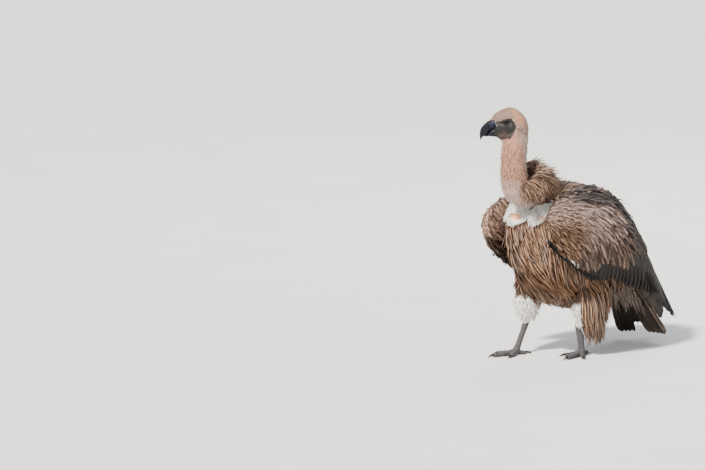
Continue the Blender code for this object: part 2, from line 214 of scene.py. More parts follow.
def neighbour_mean(mesh):
    """A function that gives each vertex the mean of its neighbours' values."""
    ends = read(mesh.edges, "vertices", 2, np.int32)
    count = len(mesh.vertices)
    ways = np.maximum(np.bincount(ends.ravel(), minlength=count), 1)

    def mean(values):
        total = np.empty_like(values)
        for axis in range(values.shape[1]):
            total[:, axis] = np.bincount(ends[:, 0], values[ends[:, 1], axis], count)
            total[:, axis] += np.bincount(ends[:, 1], values[ends[:, 0], axis], count)
        return total / ways[:, None]

    return mean


def keep_outer_shell(mesh):
    """Drops all but the largest connected part, such as the walls of closed hollows."""
    with edited(mesh) as bm:
        todo, shells = set(bm.verts), []
        while todo:
            shell, front = set(), [todo.pop()]
            while front:
                vertex = front.pop()
                shell.add(vertex)
                fresh = {edge.other_vert(vertex) for edge in vertex.link_edges} & todo
                todo -= fresh
                front.extend(fresh)
            shells.append(shell)
        shells.sort(key=len)
        bmesh.ops.delete(bm, geom=[v for shell in shells[:-1] for v in shell], context="VERTS")


def relax(mesh, rounds):
    """Smooths facets away, and keeps the volume: each step in is followed by one out."""
    mean = neighbour_mean(mesh)
    points = points_of(mesh)
    for _ in range(rounds):
        for step in (0.5, -0.53):
            points += step * (mean(points) - points)
    write_points(mesh, points)


def move_points(mesh, function):
    """Sets each vertex to function(points, normals)."""
    write_points(mesh, function(points_of(mesh), normals_of(mesh)))


# ---------------------------------------------------------------- places on the bird
def box(node):
    """The low and the high corner of a CAD node."""
    low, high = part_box(node)
    return np.array(low), np.array(high)


def middle(node):
    low, high = box(node)
    return (low + high) / 2


EYE_RADIUS = 0.0105
HEAD_PITCH = math.radians(20)
EYE_AHEAD = 0.0042  # from the middle of the head
EYE_ABOVE = 0.0024
EYE_OFFSET = float(np.linalg.norm(middle("eye_left") - middle("eye_right")) / 2)
HEAD_LEFT = unit(middle("eye_left") - middle("eye_right"))
LEVEL = unit(np.cross(HEAD_LEFT, Z))
HEAD_AXES = np.array([
    LEVEL * math.cos(HEAD_PITCH) - Z * math.sin(HEAD_PITCH),
    HEAD_LEFT,
    Z * math.cos(HEAD_PITCH) + LEVEL * math.sin(HEAD_PITCH),
])  # rows: forward along the bill, left, up through the crown
EYES_AT = (middle("eye_left") + middle("eye_right")) / 2
HEAD_AT = EYES_AT - EYE_AHEAD * HEAD_AXES[0] - EYE_ABOVE * HEAD_AXES[2]


def to_head(points):
    """Forward, left and up from the middle between the eyes."""
    return (points - HEAD_AT) @ HEAD_AXES.T


def from_head(points):
    """The reverse of to_head."""
    return np.asarray(points, float) @ HEAD_AXES + HEAD_AT


def distance_to_path(f, u, path):
    """How far each place (f, u) is from a line through the path's points."""
    best = np.full(f.shape, 1e9)
    for (fa, ua), (fb, ub) in zip(path, path[1:]):
        df, du = fb - fa, ub - ua
        t = np.clip(((f - fa) * df + (u - ua) * du) / (df * df + du * du), 0, 1)
        best = np.minimum(best, np.hypot(f - fa - t * df, u - ua - t * du))
    return best


def stroke(f, u, path, width):
    """1 on the path, fading to 0 on both sides of it."""
    return np.exp(-((distance_to_path(f, u, path) / width) ** 2))


def patch(f, u, outline, soft):
    """1 inside the closed outline and 0 outside, with an edge that soft."""
    inside = np.zeros(f.shape, bool)
    for (fa, ua), (fb, ub) in zip(outline, outline[1:] + outline[:1]):
        crosses = (ua > u) != (ub > u)
        inside ^= crosses & (f < (fb - fa) * (u - ua) / np.where(ub == ua, 1e-12, ub - ua) + fa)
    distance = distance_to_path(f, u, outline + outline[:1])
    return ramp(np.where(inside, distance, -distance), -soft, soft)


# Lines of the head in forward and up, the same on both sides.
FACE = [
    (0.0360, 0.0160), (0.0302, 0.0140), (0.0175, 0.0100), (0.0085, 0.0122), (-0.0038, 0.0118),
    (-0.0140, 0.0072), (-0.0176, -0.0033), (-0.0188, -0.0130), (-0.0172, -0.0219), (-0.0104, -0.0290),
    (-0.0035, -0.0370), (0.0040, -0.0448), (0.0132, -0.0470), (0.0254, -0.0450), (0.0338, -0.0420),
    (0.0413, -0.0400), (0.0600, -0.0330), (0.0600, 0.0160),
]
BROW = [
    (0.0330, 0.0130), (0.0177, 0.0108), (0.0092, 0.0116), (0.0009, 0.0116), (-0.0065, 0.0096),
    (-0.0135, 0.0062),
]
# Along the shadow under the brow ridge: a slight hollow in the skin, painted dark as shadow.
EYE_SHADOW = [
    (0.0200, 0.0072), (0.0150, 0.0080), (0.0092, 0.0086), (0.0009, 0.0086), (-0.0065, 0.0066),
    (-0.0120, 0.0034),
]
MOUTH = [
    (0.0654, -0.0122), (0.0563, -0.0071), (0.0461, -0.0045), (0.0364, -0.0035), (0.0231, -0.0066),
    (0.0143, -0.0108), (0.0120, -0.0140),
]
LORE = [(0.0260, 0.0030), (0.0190, 0.0000)]
EAR = [(-0.0225, -0.0180), (-0.0225, -0.0225)]
JAW = [(0.0330, -0.0330), (0.0100, -0.0380), (-0.0040, -0.0290), (-0.0120, -0.0190)]
CERE_BACK = [
    (0.0500, 0.0245), (0.0480, 0.0222), (0.0335, 0.0200), (0.0346, 0.0145), (0.0365, 0.0069),
    (0.0367, 0.0007), (0.0366, -0.0030), (0.0440, -0.0060), (0.0475, -0.0100), (0.0485, -0.0300),
]
CROWN_PATCH = [(-0.030, 0.020), (-0.038, -0.010)]
PALE_LORE = [(0.030, 0.007), (0.018, 0.001)]
PINK_JAW = [(0.034, -0.030), (0.018, -0.036)]
CERE_SEAM = [(0.0335, 0.0155), (0.0350, 0.0060), (0.0345, -0.0010)]
GAPE = [(0.0500, -0.0095), (0.0420, -0.0120)]
WHITE_RIM = [(-0.0170, 0.0040), (-0.0205, -0.0060), (-0.0205, -0.0190), (-0.0150, -0.0290)]
LID_HALF = (0.0066, 0.0043)  # half the length and height of the opening between the lids
LID_TILT = math.radians(-8)
LID_THICK = 0.0009


# ---------------------------------------------------------------- skin
NECK_DOWN_DEPTH = 0.0022
CROWN_DOWN_DEPTH = 0.0012
BODY_COAT_DEPTH = 0.011
ARM_COAT_DEPTH = 0.0045
RUFF_COAT_DEPTH = 0.0120


def behind_bill(f, u):
    """How far forward of the cere's rear edge a place is."""
    forward, up = zip(*CERE_BACK[::-1])
    return f - np.interp(u, up, forward)


def lid_opening(f, u):
    """1 on the edge of the lids' opening, less inside it."""
    c, s = math.cos(LID_TILT), math.sin(LID_TILT)
    f, u = f - EYE_AHEAD, u - EYE_ABOVE
    return np.hypot((f * c + u * s) / LID_HALF[0], (u * c - f * s) / LID_HALF[1])


def sculpt_head(points, normals):
    """Insets the skin under its down, and adds the folds, lids, brow, ear and mouth."""
    f, l, u = to_head(points).T
    height = points[:, 2]
    on_side = ramp(np.abs(l), 0.007, 0.014)
    bare = patch(f, u, FACE, 0.003) * ramp(height, 0.655, 0.665)
    throat = 1 - ramp(height, 0.630, 0.665)
    inset = mix(CROWN_DOWN_DEPTH, NECK_DOWN_DEPTH, throat) * (1 - bare)
    under_horn = ramp(behind_bill(f, u), 0.0004, 0.0040) * (u > -0.045) * (f > 0.02)
    raised = -inset - 0.0022 * under_horn
    marks = (
        (0.0022, BROW, 0.0026), (-0.0014, LORE, 0.0050), (-0.0013, MOUTH, 0.0010),
        (-0.0022, EAR, 0.0017), (0.0008, JAW, 0.0035), (-0.0010, EYE_SHADOW, 0.0014),
    )
    for rise, path, width in marks:
        raised += rise * stroke(f, u, path, width) * on_side
    ear_rim = hump(distance_to_path(f, u, EAR), 0.0038, 0.0013)
    lips = hump(distance_to_path(f, u, MOUTH[2:]), 0.0026, 0.0011)
    raised += (0.0008 * ear_rim + 0.0005 * lips * (1 - under_horn)) * on_side
    folds = noise(points * (1, 1, 2.6), 0.011, 3) + 0.6 * noise(points * (1, 1, 2.2), 0.005, 4)
    raised += folds * mix(0.00020, 0.00075, throat)
    raised += 0.00022 * noise(points, 0.0022, 5) * bare
    moved = points + normals * raised[:, None]

    f, l, u = to_head(moved).T
    nose_end = np.where((f > 0.050) & (u > -0.048), 0.050 + (f - 0.050) * 0.15, f)
    reach = np.hypot(f - EYE_AHEAD, u - EYE_ABOVE)
    opening = lid_opening(f, u)
    ball = EYE_OFFSET + np.sqrt(np.maximum(EYE_RADIUS**2 - reach**2, 0))
    lid = ball + LID_THICK * (1 - 0.4 * ramp(opening, 1.2, 1.9))
    near = (1 - ramp(opening, 1.5, 2.5)) * (reach < 0.0104)
    outer = np.abs(l) - 0.0006 * hump(opening, 2.3, 0.3) * (np.abs(l) > 0.012)
    outer = mix(outer, np.maximum(outer, lid), near)
    socket = mix(lid, ball - 0.0030, ramp(1 - opening, 0.0, 0.16))
    level = np.where((opening < 1) & (np.abs(l) > 0.008), socket, outer)
    level = np.where(np.abs(l) > 0.008, level, np.abs(l))
    return from_head(np.stack([nose_end, np.sign(l) * level, u], -1))


def split_wide_faces(bm):
    """Cuts every face of more than four corners into triangles."""
    bmesh.ops.triangulate(bm, faces=[face for face in bm.faces if len(face.verts) > 4])


def refine_round_eyes(mesh):
    """Finer faces where the lids are."""
    with edited(mesh) as bm:
        f, l, u = to_head(np.array([v.co for v in bm.verts])).T
        near = (np.hypot(f - EYE_AHEAD, u - EYE_ABOVE) < 0.0125) & (np.abs(l) > 0.010)
        edges = [e for e in bm.edges if near[e.verts[0].index] and near[e.verts[1].index]]
        bmesh.ops.subdivide_edges(bm, edges=edges, cuts=3, use_grid_fill=True)
        split_wide_faces(bm)


def make_head_core():
    """Head and neck with the eyes' swellings and the bill's root, as one fine mesh."""
    nodes = ["head", "eye_left", "eye_right", "cere", "bill_upper", "bill_lower", "neck_upper", "neck_lower"]
    core = gathered("head_core", nodes)
    bake_modifier(core, "REMESH", mode="VOXEL", voxel_size=0.0019)
    keep_outer_shell(core.data)
    relax(core.data, 20)
    refine_round_eyes(core.data)
    relax(core.data, 3)
    move_points(core.data, sculpt_head)
    return core


# Radius of the leg's flesh from the hip down to the ankle, as shares of the way.
DRUMSTICK = {
    "left": [(0.0, 0.044), (0.30, 0.043), (0.55, 0.030), (0.80, 0.016), (1.0, 0.0105)],
    "right": [(0.0, 0.038), (0.30, 0.034), (0.60, 0.027), (0.85, 0.018), (1.0, 0.0105)],
}
SHIN = [(-0.10, 0.0098), (0.10, 0.0098), (0.40, 0.0086), (0.75, 0.0086), (1.0, 0.0100)]
TOE_NAMES = ("middle", "inner", "outer", "hind")
SCUTE = 0.0042  # length of a toe's scutes


def ankle(side):
    """The middle of the tarsus's top end."""
    points = read(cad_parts["tarsus_" + side].data.vertices, "co", 3)
    return points[points[:, 2] > box("tarsus_" + side)[1][2] - 0.012].mean(0)


def foot_centre(side):
    """The middle of the tarsus's low end, at the toes' height."""
    points = read(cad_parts["tarsus_" + side].data.vertices, "co", 3)
    low = points[points[:, 2] < points[:, 2].min() + 0.010]
    return np.append(low.mean(0)[:2], 0.012)


def toe_ways(side):
    """The level ways that the toes point."""
    centre = foot_centre(side)
    ways = [middle(f"claw_{side}_{toe}") - centre for toe in TOE_NAMES]
    return np.array([unit(np.array([w[0], w[1], 0.0])) for w in ways])


def oval_ring(centre, radius, count, stretch=1):
    """A level ring of points, stretched along Y."""
    angles = turn_of(count)
    return centre + radius * (np.outer(np.cos(angles), X) + stretch * np.outer(np.sin(angles), Y))


def drumstick(side):
    """The leg's flesh from the hip to the ankle."""
    low, high = box("thigh_" + side)
    hip = np.array([*((low + high) / 2)[:2], high[2]])
    hip[1] = hip[1] + 0.012
    end = ankle(side)
    rings = [
        oval_ring(mix(hip, end, share), radius, 24, 1 + 0.35 * (1 - share))
        for share, radius in spline(DRUMSTICK[side], 24)
    ]
    return solid("drumstick", tube(rings))


def shin(side):
    """The tarsus from the ankle to the foot, where the trousers cut its solid short."""
    hock, foot = ankle(side), foot_centre(side)
    return solid("shin", tube([oval_ring(mix(hock, foot, share), radius, 20) for share, radius in SHIN]))


def sculpt_leg(side):
    """A function that adds scutes and pads to the toes and rings to the shin."""
    centre, ways = foot_centre(side), toe_ways(side)

    def sculpt(points, normals):
        level = points - centre
        along = (level @ ways.T).max(1)
        on_toe = ramp(along, 0.010, 0.016) * (1 - ramp(points[:, 2], 0.018, 0.024))
        top = ramp(normals[:, 2], 0.0, 0.5)
        scutes = np.abs(np.sin(along / SCUTE * math.pi)) ** 0.5 - 0.7
        pads = (1 - top) * noise(points, 0.004, 8)
        on_shin = ramp(points[:, 2], 0.022, 0.030) * (1 - ramp(points[:, 2], 0.100, 0.115))
        rings = np.abs(np.sin(points[:, 2] / 0.0050 * math.pi)) ** 0.5 - 0.7
        front = ramp(-normals[:, 1], 0.1, 0.7)
        raised = on_toe * (0.00038 * scutes * top + 0.00025 * pads)
        raised += on_shin * (0.00028 * rings * front + 0.00022 * noise(points, 0.0032, 9))
        moved = points + normals * (raised - 0.0002)[:, None]
        moved[:, 2] = np.maximum(moved[:, 2], 0.0)
        return moved

    return sculpt


def make_leg_core(side):
    """Shin and toes as one fine mesh."""
    nodes = ["tarsus_" + side] + [f"toe_{side}_{toe}" for toe in TOE_NAMES]
    leg = join([gathered("leg_core_" + side, nodes, swell=0.0004), shin(side)])
    bake_modifier(leg, "REMESH", mode="VOXEL", voxel_size=0.0014)
    keep_outer_shell(leg.data)
    relax(leg.data, 6)
    move_points(leg.data, sculpt_leg(side))
    return leg


def join(objects):
    """Joins the objects into the first of them."""
    with bpy.context.temp_override(
        active_object=objects[0], object=objects[0], selected_objects=objects,
        selected_editable_objects=objects,
    ):
        bpy.ops.object.join()
    return objects[0]


def inset_body(points, normals):
    """The arm's and the ruff's flesh lie close under their feathers, the trunk's under longer ones."""
    x, y, z = points.T
    on_arm = ramp(np.abs(x), 0.085, 0.115)
    thinner = ramp(y, -0.050, 0.060)
    depth = mix(BODY_COAT_DEPTH, mix(ARM_COAT_DEPTH, 0.0010, thinner), on_arm)
    on_ruff = ramp(z, 0.488, 0.505) * (y < -0.050)
    near = mix(0.0035, 0.0170, ramp(-x, 0.005, 0.025))
    depth = mix(depth, mix(near, RUFF_COAT_DEPTH, ramp(y, -0.250, -0.190)), on_ruff)
    return points - normals * depth[:, None]


def make_body_core():
    """The flesh of trunk, arms, ruff and thighs, as one mesh."""
    solids = ["trunk", "wing_left_arm", "wing_right_arm", "ruff_left", "ruff_right"]
    body = gathered("body_core", solids)
    bake_modifier(body, "REMESH", mode="VOXEL", voxel_size=0.0055)
    relax(body.data, 12)
    move_points(body.data, inset_body)
    body = join([body] + [drumstick(side) for side in SIDES])
    bake_modifier(body, "REMESH", mode="VOXEL", voxel_size=0.0055)
    keep_outer_shell(body.data)
    relax(body.data, 6)
    return body


def make_skin():
    """One closed skin: the trunk and arms, with the finer head, neck and legs joined on."""
    skin = make_body_core()
    for other in [make_head_core()] + [make_leg_core(side) for side in SIDES]:
        bake_modifier(skin, "BOOLEAN", object=other, operation="UNION", solver="MANIFOLD")
        bpy.data.objects.remove(other)
    skin.name = "skin"
    skin.data.name = "skin"
    return skin


# ---------------------------------------------------------------- horn
# Forward, top, bottom and half-width of the upper bill with its cere, and of the lower bill.
UPPER_BILL = [
    (0.0270, 0.0165, -0.0055, 0.0125), (0.0325, 0.0195, -0.0045, 0.0172), (0.0365, 0.0206, -0.0043, 0.0196),
    (0.0400, 0.0214, -0.0042, 0.0194), (0.0490, 0.0210, -0.0056, 0.0168),
    (0.0570, 0.0192, -0.0085, 0.0150), (0.0650, 0.0163, -0.0125, 0.0136),
    (0.0730, 0.0128, -0.0162, 0.0119), (0.0790, 0.0088, -0.0172, 0.0101),
    (0.0840, 0.0040, -0.0182, 0.0083), (0.0880, -0.0018, -0.0206, 0.0063),
    (0.0908, -0.0080, -0.0232, 0.0047), (0.0926, -0.0135, -0.0254, 0.0034),
    (0.0938, -0.0190, -0.0272, 0.0018),
]
LOWER_BILL = [
    (0.0240, -0.0065, -0.0340, 0.0122), (0.0340, -0.0040, -0.0362, 0.0138),
    (0.0440, -0.0040, -0.0342, 0.0136), (0.0540, -0.0066, -0.0292, 0.0124),
    (0.0640, -0.0112, -0.0243, 0.0105), (0.0720, -0.0148, -0.0216, 0.0076),
    (0.0795, -0.0160, -0.0202, 0.0036),
]
CERE_FRONT = (0.0530, 0.008)  # a place on the slanted line between cere and bill
CERE_SLANT = (0.947, 0.320)  # the way that line faces, forward and up
CUTTING_EDGE = [
    (0.036, -0.0042), (0.049, -0.0056), (0.057, -0.0085), (0.065, -0.0125), (0.073, -0.0162),
    (0.088, -0.0170),
]
NOSTRIL = [(0.0470, 0.0125), (0.0452, 0.0092), (0.0446, 0.0058)]


def profile_rings(rows, count, around, square=1.0):
    """Upright rings along the head's length, in forward, left and up."""
    angles = 2 * math.pi * (np.arange(around) + 0.5) / around
    across = np.sign(np.cos(angles)) * np.abs(np.cos(angles)) ** square
    rise = np.sign(np.sin(angles)) * np.abs(np.sin(angles)) ** square
    rings = []
    for forward, top, bottom, width in spline(rows, count):
        level = (top + bottom) / 2 + (top - bottom) / 2 * rise
        rings.append(np.stack([np.full(around, forward), width * across, level], -1))
    return rings


def split_at_cere(obj, keep_front):
    """Cuts the upper bill at the front of the cere and closes the cut."""
    place = from_head((CERE_FRONT[0], 0, CERE_FRONT[1]))
    facing = np.array((CERE_SLANT[0], 0, CERE_SLANT[1])) @ HEAD_AXES
    with edited(obj.data) as bm:
        bmesh.ops.bisect_plane(
            bm, geom=bm.verts[:] + bm.edges[:] + bm.faces[:], plane_co=place, plane_no=facing,
            clear_inner=keep_front, clear_outer=not keep_front,
        )
        bmesh.ops.holes_fill(bm, edges=[e for e in bm.edges if e.is_boundary])
        split_wide_faces(bm)


def sculpt_upper_bill(points, normals):
    """A raised, wrinkled cere with nostrils, and horn with a keel and a cutting edge."""
    f, l, u = to_head(points).T
    ahead = (f - CERE_FRONT[0]) * CERE_SLANT[0] + (u - CERE_FRONT[1]) * CERE_SLANT[1]
    on_cere = 1 - ramp(ahead, -0.0022, -0.0002)
    raised = 0.0006 * on_cere - 0.0004 * hump(ahead, 0.0004, 0.0008)
    raised += on_cere * 0.00022 * noise(points, 0.0026, 11)
    on_side = ramp(np.abs(l), 0.006, 0.010)
    raised -= 0.0017 * stroke(f, u, NOSTRIL, 0.0011) * on_side
    raised += 0.0005 * hump(distance_to_path(f, u, NOSTRIL), 0.0024, 0.0009) * on_side
    edge = u - np.interp(f, *zip(*CUTTING_EDGE))
    raised += 0.0005 * hump(edge, 0.0016, 0.0012) * (1 - on_cere)
    raised -= 0.0006 * hump(edge, 0.0052, 0.0022) * (1 - on_cere) * ramp(0.078 - f, 0, 0.01)
    return points + normals * raised[:, None]


def bill_piece(name, rows, count, around, square=1.0):
    """A closed loft along the head, with more or less square rings."""
    points, faces = tube(profile_rings(rows, count, around, square))
    return solid(name, (from_head(points), faces))


def make_bill():
    """The cere, the upper bill in front of it and the lower bill, each with the solid it stands for."""
    pieces = []
    for name, node, ahead in (("cere_skin", "cere", False), ("beak_upper", "bill_upper", True)):
        piece = bill_piece(name, UPPER_BILL, 120, 88)
        move_points(piece.data, sculpt_upper_bill)
        split_at_cere(piece, ahead)
        pieces.append((piece, node))
    return pieces + [(bill_piece("beak_lower", LOWER_BILL, 70, 48, square=0.9), "bill_lower")]


PUPIL_RADIUS = 0.0027
IRIS_RADIUS = 0.0056
CORNEA_RISE = 0.0006


def make_eye(side):
    """A ball with its poles on the line of sight, and a cornea that stands a little proud."""
    rings = []
    angles = turn_of(48)
    for polar in np.linspace(0.02, math.pi - 0.02, 40):
        radius = EYE_RADIUS - 0.0001 + CORNEA_RISE * math.exp(-((polar / 0.42) ** 2))
        outward = np.full(len(angles), SIDES[side] * (EYE_OFFSET + radius * math.cos(polar)))
        ahead = EYE_AHEAD + radius * math.sin(polar) * np.cos(angles)
        above = EYE_ABOVE + radius * math.sin(polar) * np.sin(angles)
        rings.append(from_head(np.stack([ahead, outward, above], -1)))
    return solid("eyeball_" + side, tube(rings))


# Along a claw: the share of its length past the toe, its rise, and its width in toe radii.
CLAW_ROWS = [
    (-0.25, 0.0, 0.40), (0.0, 0.0010, 0.46), (0.35, 0.0006, 0.38), (0.7, -0.0018, 0.26),
    (1.0, -0.0048, 0.05),
]
CLAW_LENGTHS = {"middle": 0.022, "inner": 0.022, "outer": 0.018, "hind": 0.021}
TOE_RADIUS = 0.0076
TOE_THICKNESS = {"middle": 1.0, "inner": 0.95, "outer": 0.90, "hind": 0.85}
SOLE_CUT = 0.0011


def make_claw(side, toe):
    """A claw on the line of its toe, curved down to the floor, with a rounded ridge."""
    low, high = box(f"claw_{side}_{toe}")
    centre = foot_centre(side)
    out = unit(np.append((middle(f"claw_{side}_{toe}") - centre)[:2], 0.0))
    across = np.cross(Z, out)
    length = CLAW_LENGTHS[toe]
    corners = [np.array([x, y, 0]) for x in (low[0], high[0]) for y in (low[1], high[1])]
    tip = max((corner - centre) @ out for corner in corners) - 0.0015
    root = centre * (1, 1, 0) + out * (tip - length)
    level = TOE_RADIUS * TOE_THICKNESS[toe] - SOLE_CUT
    rings = []
    angles = turn_of(20)
    keel = 1 + 0.12 * np.maximum(np.sin(angles), 0) ** 3
    for share, rise, width in spline(CLAW_ROWS, 26):
        place = root + out * (length * share) + Z * (level + rise)
        wide, deep = TOE_RADIUS * width * 0.9, TOE_RADIUS * width * 1.15
        ring = place + wide * np.outer(np.cos(angles), across) + deep * np.outer(np.sin(angles) * keel, Z)
        ring[:, 2] = np.maximum(ring[:, 2], 0.0001)
        rings.append(ring)
    return solid(f"talon_{side}_{toe}", tube(rings))


# ---------------------------------------------------------------- colours painted on the skin
def put_colour(mesh, name, colours):
    """Stores a colour for each vertex."""
    attribute = mesh.attributes.new(name, "FLOAT_COLOR", "POINT")
    rgba = np.ones((len(colours), 4), np.float32)
    rgba[:, :3] = colours
    attribute.data.foreach_set("color", rgba.ravel())


def put_vector(mesh, name, vectors):
    """Stores three numbers for each vertex."""
    attribute = mesh.attributes.new(name, "FLOAT_VECTOR", "POINT")
    attribute.data.foreach_set("vector", np.asarray(vectors, np.float32).ravel())


SLATE = srgb("1d1b1a")
SLATE_PALE = srgb("403c3a")
SHADE_AND_LID_BLACK = srgb("050404")
RIM_GREY = srgb("8f8c8c")
GAPE_SHADE = srgb("1c1a1c")
JAW_PINK = srgb("4f3b34")
CROWN_SKIN = srgb("785d50")
CROWN_WARM = srgb("a87450")
NECK_DOWN = srgb("f0dfcf")
RIM_DOWN = srgb("fdf7e4")
NECK_SKIN = srgb("a9745a")
NECK_DARK = srgb("6b4a3a")
NECK_REAR = srgb("8d7569")
CROP_SKIN = srgb("bd9d92")
LEG_GREY = srgb("454143")
HORN = srgb("090a10")
HORN_CLOUD = srgb("1c1e2a")
CERE = srgb("12131f")
CERE_CLOUD = srgb("23273c")
CLAW = srgb("161414")
CLAW_CLOUD = srgb("2e2a29")
IRIS_BROWN = (0.0030, 0.0018, 0.0010)
PUPIL_BLACK = (0.001, 0.001, 0.001, 1)
EYE_EDGE = (0.003, 0.002, 0.002, 1)


def head_skin_colours(points):
    """Slate face, pale crown, warm speckled neck, and the paler crop at its foot."""
    f, _, u = to_head(points).T
    height = points[:, 2:3]
    speckle = noise(points, 0.0035, 21)[:, None]
    coarse = noise(points, 0.012, 24)[:, None]
    rear = ramp(f, 0.005, -0.030)[:, None]
    neck = mix(NECK_SKIN, NECK_DARK, ramp(speckle + 0.4 * coarse, 0.15, 0.75))
    neck = mix(neck, NECK_REAR * (1 + 0.15 * speckle), rear)
    neck = mix(CROP_SKIN * (1 + 0.12 * speckle), neck, ramp(height + 0.010 * coarse, 0.500, 0.560))
    crown = mix(CROWN_SKIN, CROWN_WARM, stroke(f, u, CROWN_PATCH, 0.012)[:, None])
    crown = crown * (1 + 0.12 * speckle)
    colours = mix(neck, crown, ramp(height, 0.650, 0.700))
    edge = 0.0022 * noise(points, 0.007, 25)
    face = patch(f + edge, u + edge, FACE, 0.0022)[:, None] * ramp(height, 0.648, 0.656)
    pale = ramp(noise(points, 0.008, 26)[:, None] + 0.4 * speckle, 0.0, 0.9)
    slate = mix(SLATE, SLATE_PALE, 0.6 * pale)
    lore = stroke(f, u, PALE_LORE, 0.006)[:, None]
    slate = mix(slate, SLATE_PALE, 0.6 * lore)
    jaw = stroke(f, u, PINK_JAW, 0.008)[:, None]
    slate = mix(slate, JAW_PINK, 0.55 * jaw)
    # Painted shadow under the brow ridge, and painted shade along the mouth's crease; then the dark lids
    # round the eye.
    slate = mix(slate, SHADE_AND_LID_BLACK, stroke(f, u, EYE_SHADOW, 0.0036)[:, None])
    slate = mix(slate, SHADE_AND_LID_BLACK, 0.7 * stroke(f, u, MOUTH, 0.0016)[:, None])
    lids = np.exp(-((lid_opening(f, u)[:, None] / 1.95) ** 8))
    slate = mix(slate, SHADE_AND_LID_BLACK, lids)
    rim = stroke(f, u, CERE_SEAM, 0.0012)[:, None]
    slate = mix(slate, RIM_GREY, 0.45 * rim)
    # Painted shade on the skin in the gap between the bills at the gape.
    gape = stroke(f, u, GAPE, 0.007)[:, None]
    return mix(mix(colours, slate, face), GAPE_SHADE, gape)


# ---------------------------------------------------------------- the coat: markings, by place
def two_tone(dark, pale):
    return srgb(dark), srgb(pale)


# The dark and the pale colour of the feathers of each tract.
BREAST = two_tone("553e31", "96806f")
BELLY = two_tone("39261a", "7e5f45")
TROUSERS = two_tone("553e30", "a08672")
BACK = two_tone("54463f", "ab948b")
UNDER_TAIL = two_tone("5a4c45", "9d8a7e")
TAIL_LOW = two_tone("41372f", "86776c")
TAIL_FAN = two_tone("4f4139", "8c7869")
WING = two_tone("5c4a41", "ab9184")
WING_FRONT = two_tone("3c291d", "84664f")
WING_LOWER = two_tone("382a24", "6f5a4b")
WING_DROOP_SHADE = two_tone("241a14", "4f4036")
WING_CREST = two_tone("2f2724", "63564f")
WING_REAR = two_tone("261f1c", "51463f")
SCAPULAR = two_tone("251e1b", "4d433e")
RUFF_TAWNY = srgb("503a2b")
RUFF_DARK = srgb("3a291f")
RUFF_PALE = srgb("997c67")
RUFF_TOP_PALE = srgb("cbb09b")
WHITE_DOWN = srgb("f9f5ef")
ORANGE_SKIN = srgb("d59466")

# Outlines of the two white patches of the breast, in x and z.
WHITE_RIGHT = [
    (-0.118, 0.466), (-0.097, 0.464), (-0.0324, 0.462), (-0.0068, 0.450), (0.0082, 0.438),
    (0.0115, 0.420), (-0.0119, 0.411), (-0.0314, 0.401), (-0.0576, 0.402), (-0.100, 0.404), (-0.122, 0.408),
]
WHITE_LEFT = [
    (0.010, 0.446), (0.022, 0.462), (0.050, 0.466), (0.075, 0.478), (0.102, 0.484), (0.104, 0.466),
    (0.082, 0.446), (0.068, 0.428), (0.052, 0.413), (0.030, 0.408), (0.014, 0.418),
]


BREAST_REAR = -0.150  # in y: the breast's patches lie in front of it


def to_right(x, y):
    """How far to the right in the photo's view a place or a way points."""
    return 0.67 * x + 0.74 * y


def white_breast(points):
    """1 on the fluffy white patches of the breast."""
    wander = 0.005 * np.stack([noise(points, 0.016, 31), noise(points, 0.016, 32)])
    x, z = points[:, 0] + wander[0], points[:, 2] + wander[1]
    shown = np.maximum(patch(x, z, WHITE_RIGHT, 0.003), patch(x, z, WHITE_LEFT, 0.003))
    return shown * (points[:, 1] < BREAST_REAR)


def bare_spots(points):
    """1 on the orange skin that shows in the white patches."""
    x, z = points[:, 0], points[:, 2]
    right = 1 - ramp(np.hypot((x + 0.0485) / 0.0270, (z - 0.4200) / 0.0120), 0.75, 1.1)
    left = 1 - ramp(np.hypot((x - 0.0595) / 0.0110, (z - 0.4300) / 0.0070), 0.75, 1.1)
    return np.maximum(right, 0.7 * left) * (points[:, 1] < BREAST_REAR)


def white_thigh(points):
    """1 on the white down low on the right leg and down the left leg's front."""
    x, y, z = (points + 0.004 * noise(points, 0.012, 33)[:, None]).T
    right = (x < -0.030) * (1 - ramp(z, 0.166, 0.178)) * (y < -0.060)
    front = 1 - ramp(to_right(x, y), -0.002, 0.008)
    left = (x > 0.020) * (1 - ramp(z, 0.150, 0.168)) * front
    return np.maximum(right, left)


def layered(tones, layers):
    """Dark and pale colours, with each layer mixed over the ones before it by its share."""
    dark, pale = tones
    for share, (deep, light) in layers:
        dark, pale = mix(dark, deep, share[:, None]), mix(pale, light, share[:, None])
    return dark, pale


def body_tones(points):
    """The dark and the pale colour of the feathers of the trunk and thighs."""
    _, y, z = points.T
    return layered(BREAST, (
        (1 - ramp(z, 0.220, 0.330), BELLY),
        (1 - ramp(z, 0.150, 0.230), TROUSERS),
        (ramp(y, 0.00, 0.10) * ramp(z, 0.30, 0.40), BACK),
        (ramp(y, 0.110, 0.150), UNDER_TAIL),
    ))


CREST = [  # the top line of the folded wings: y, z
    (-0.140, 0.503), (-0.020, 0.493), (0.044, 0.470), (0.095, 0.448), (0.130, 0.428),
]


def near_crest(points):
    """1 along the top line of the folded wings, where the feathers are darkest."""
    line = np.interp(points[:, 1], *zip(*CREST))
    return ramp(points[:, 2] - line, -0.034, -0.018)


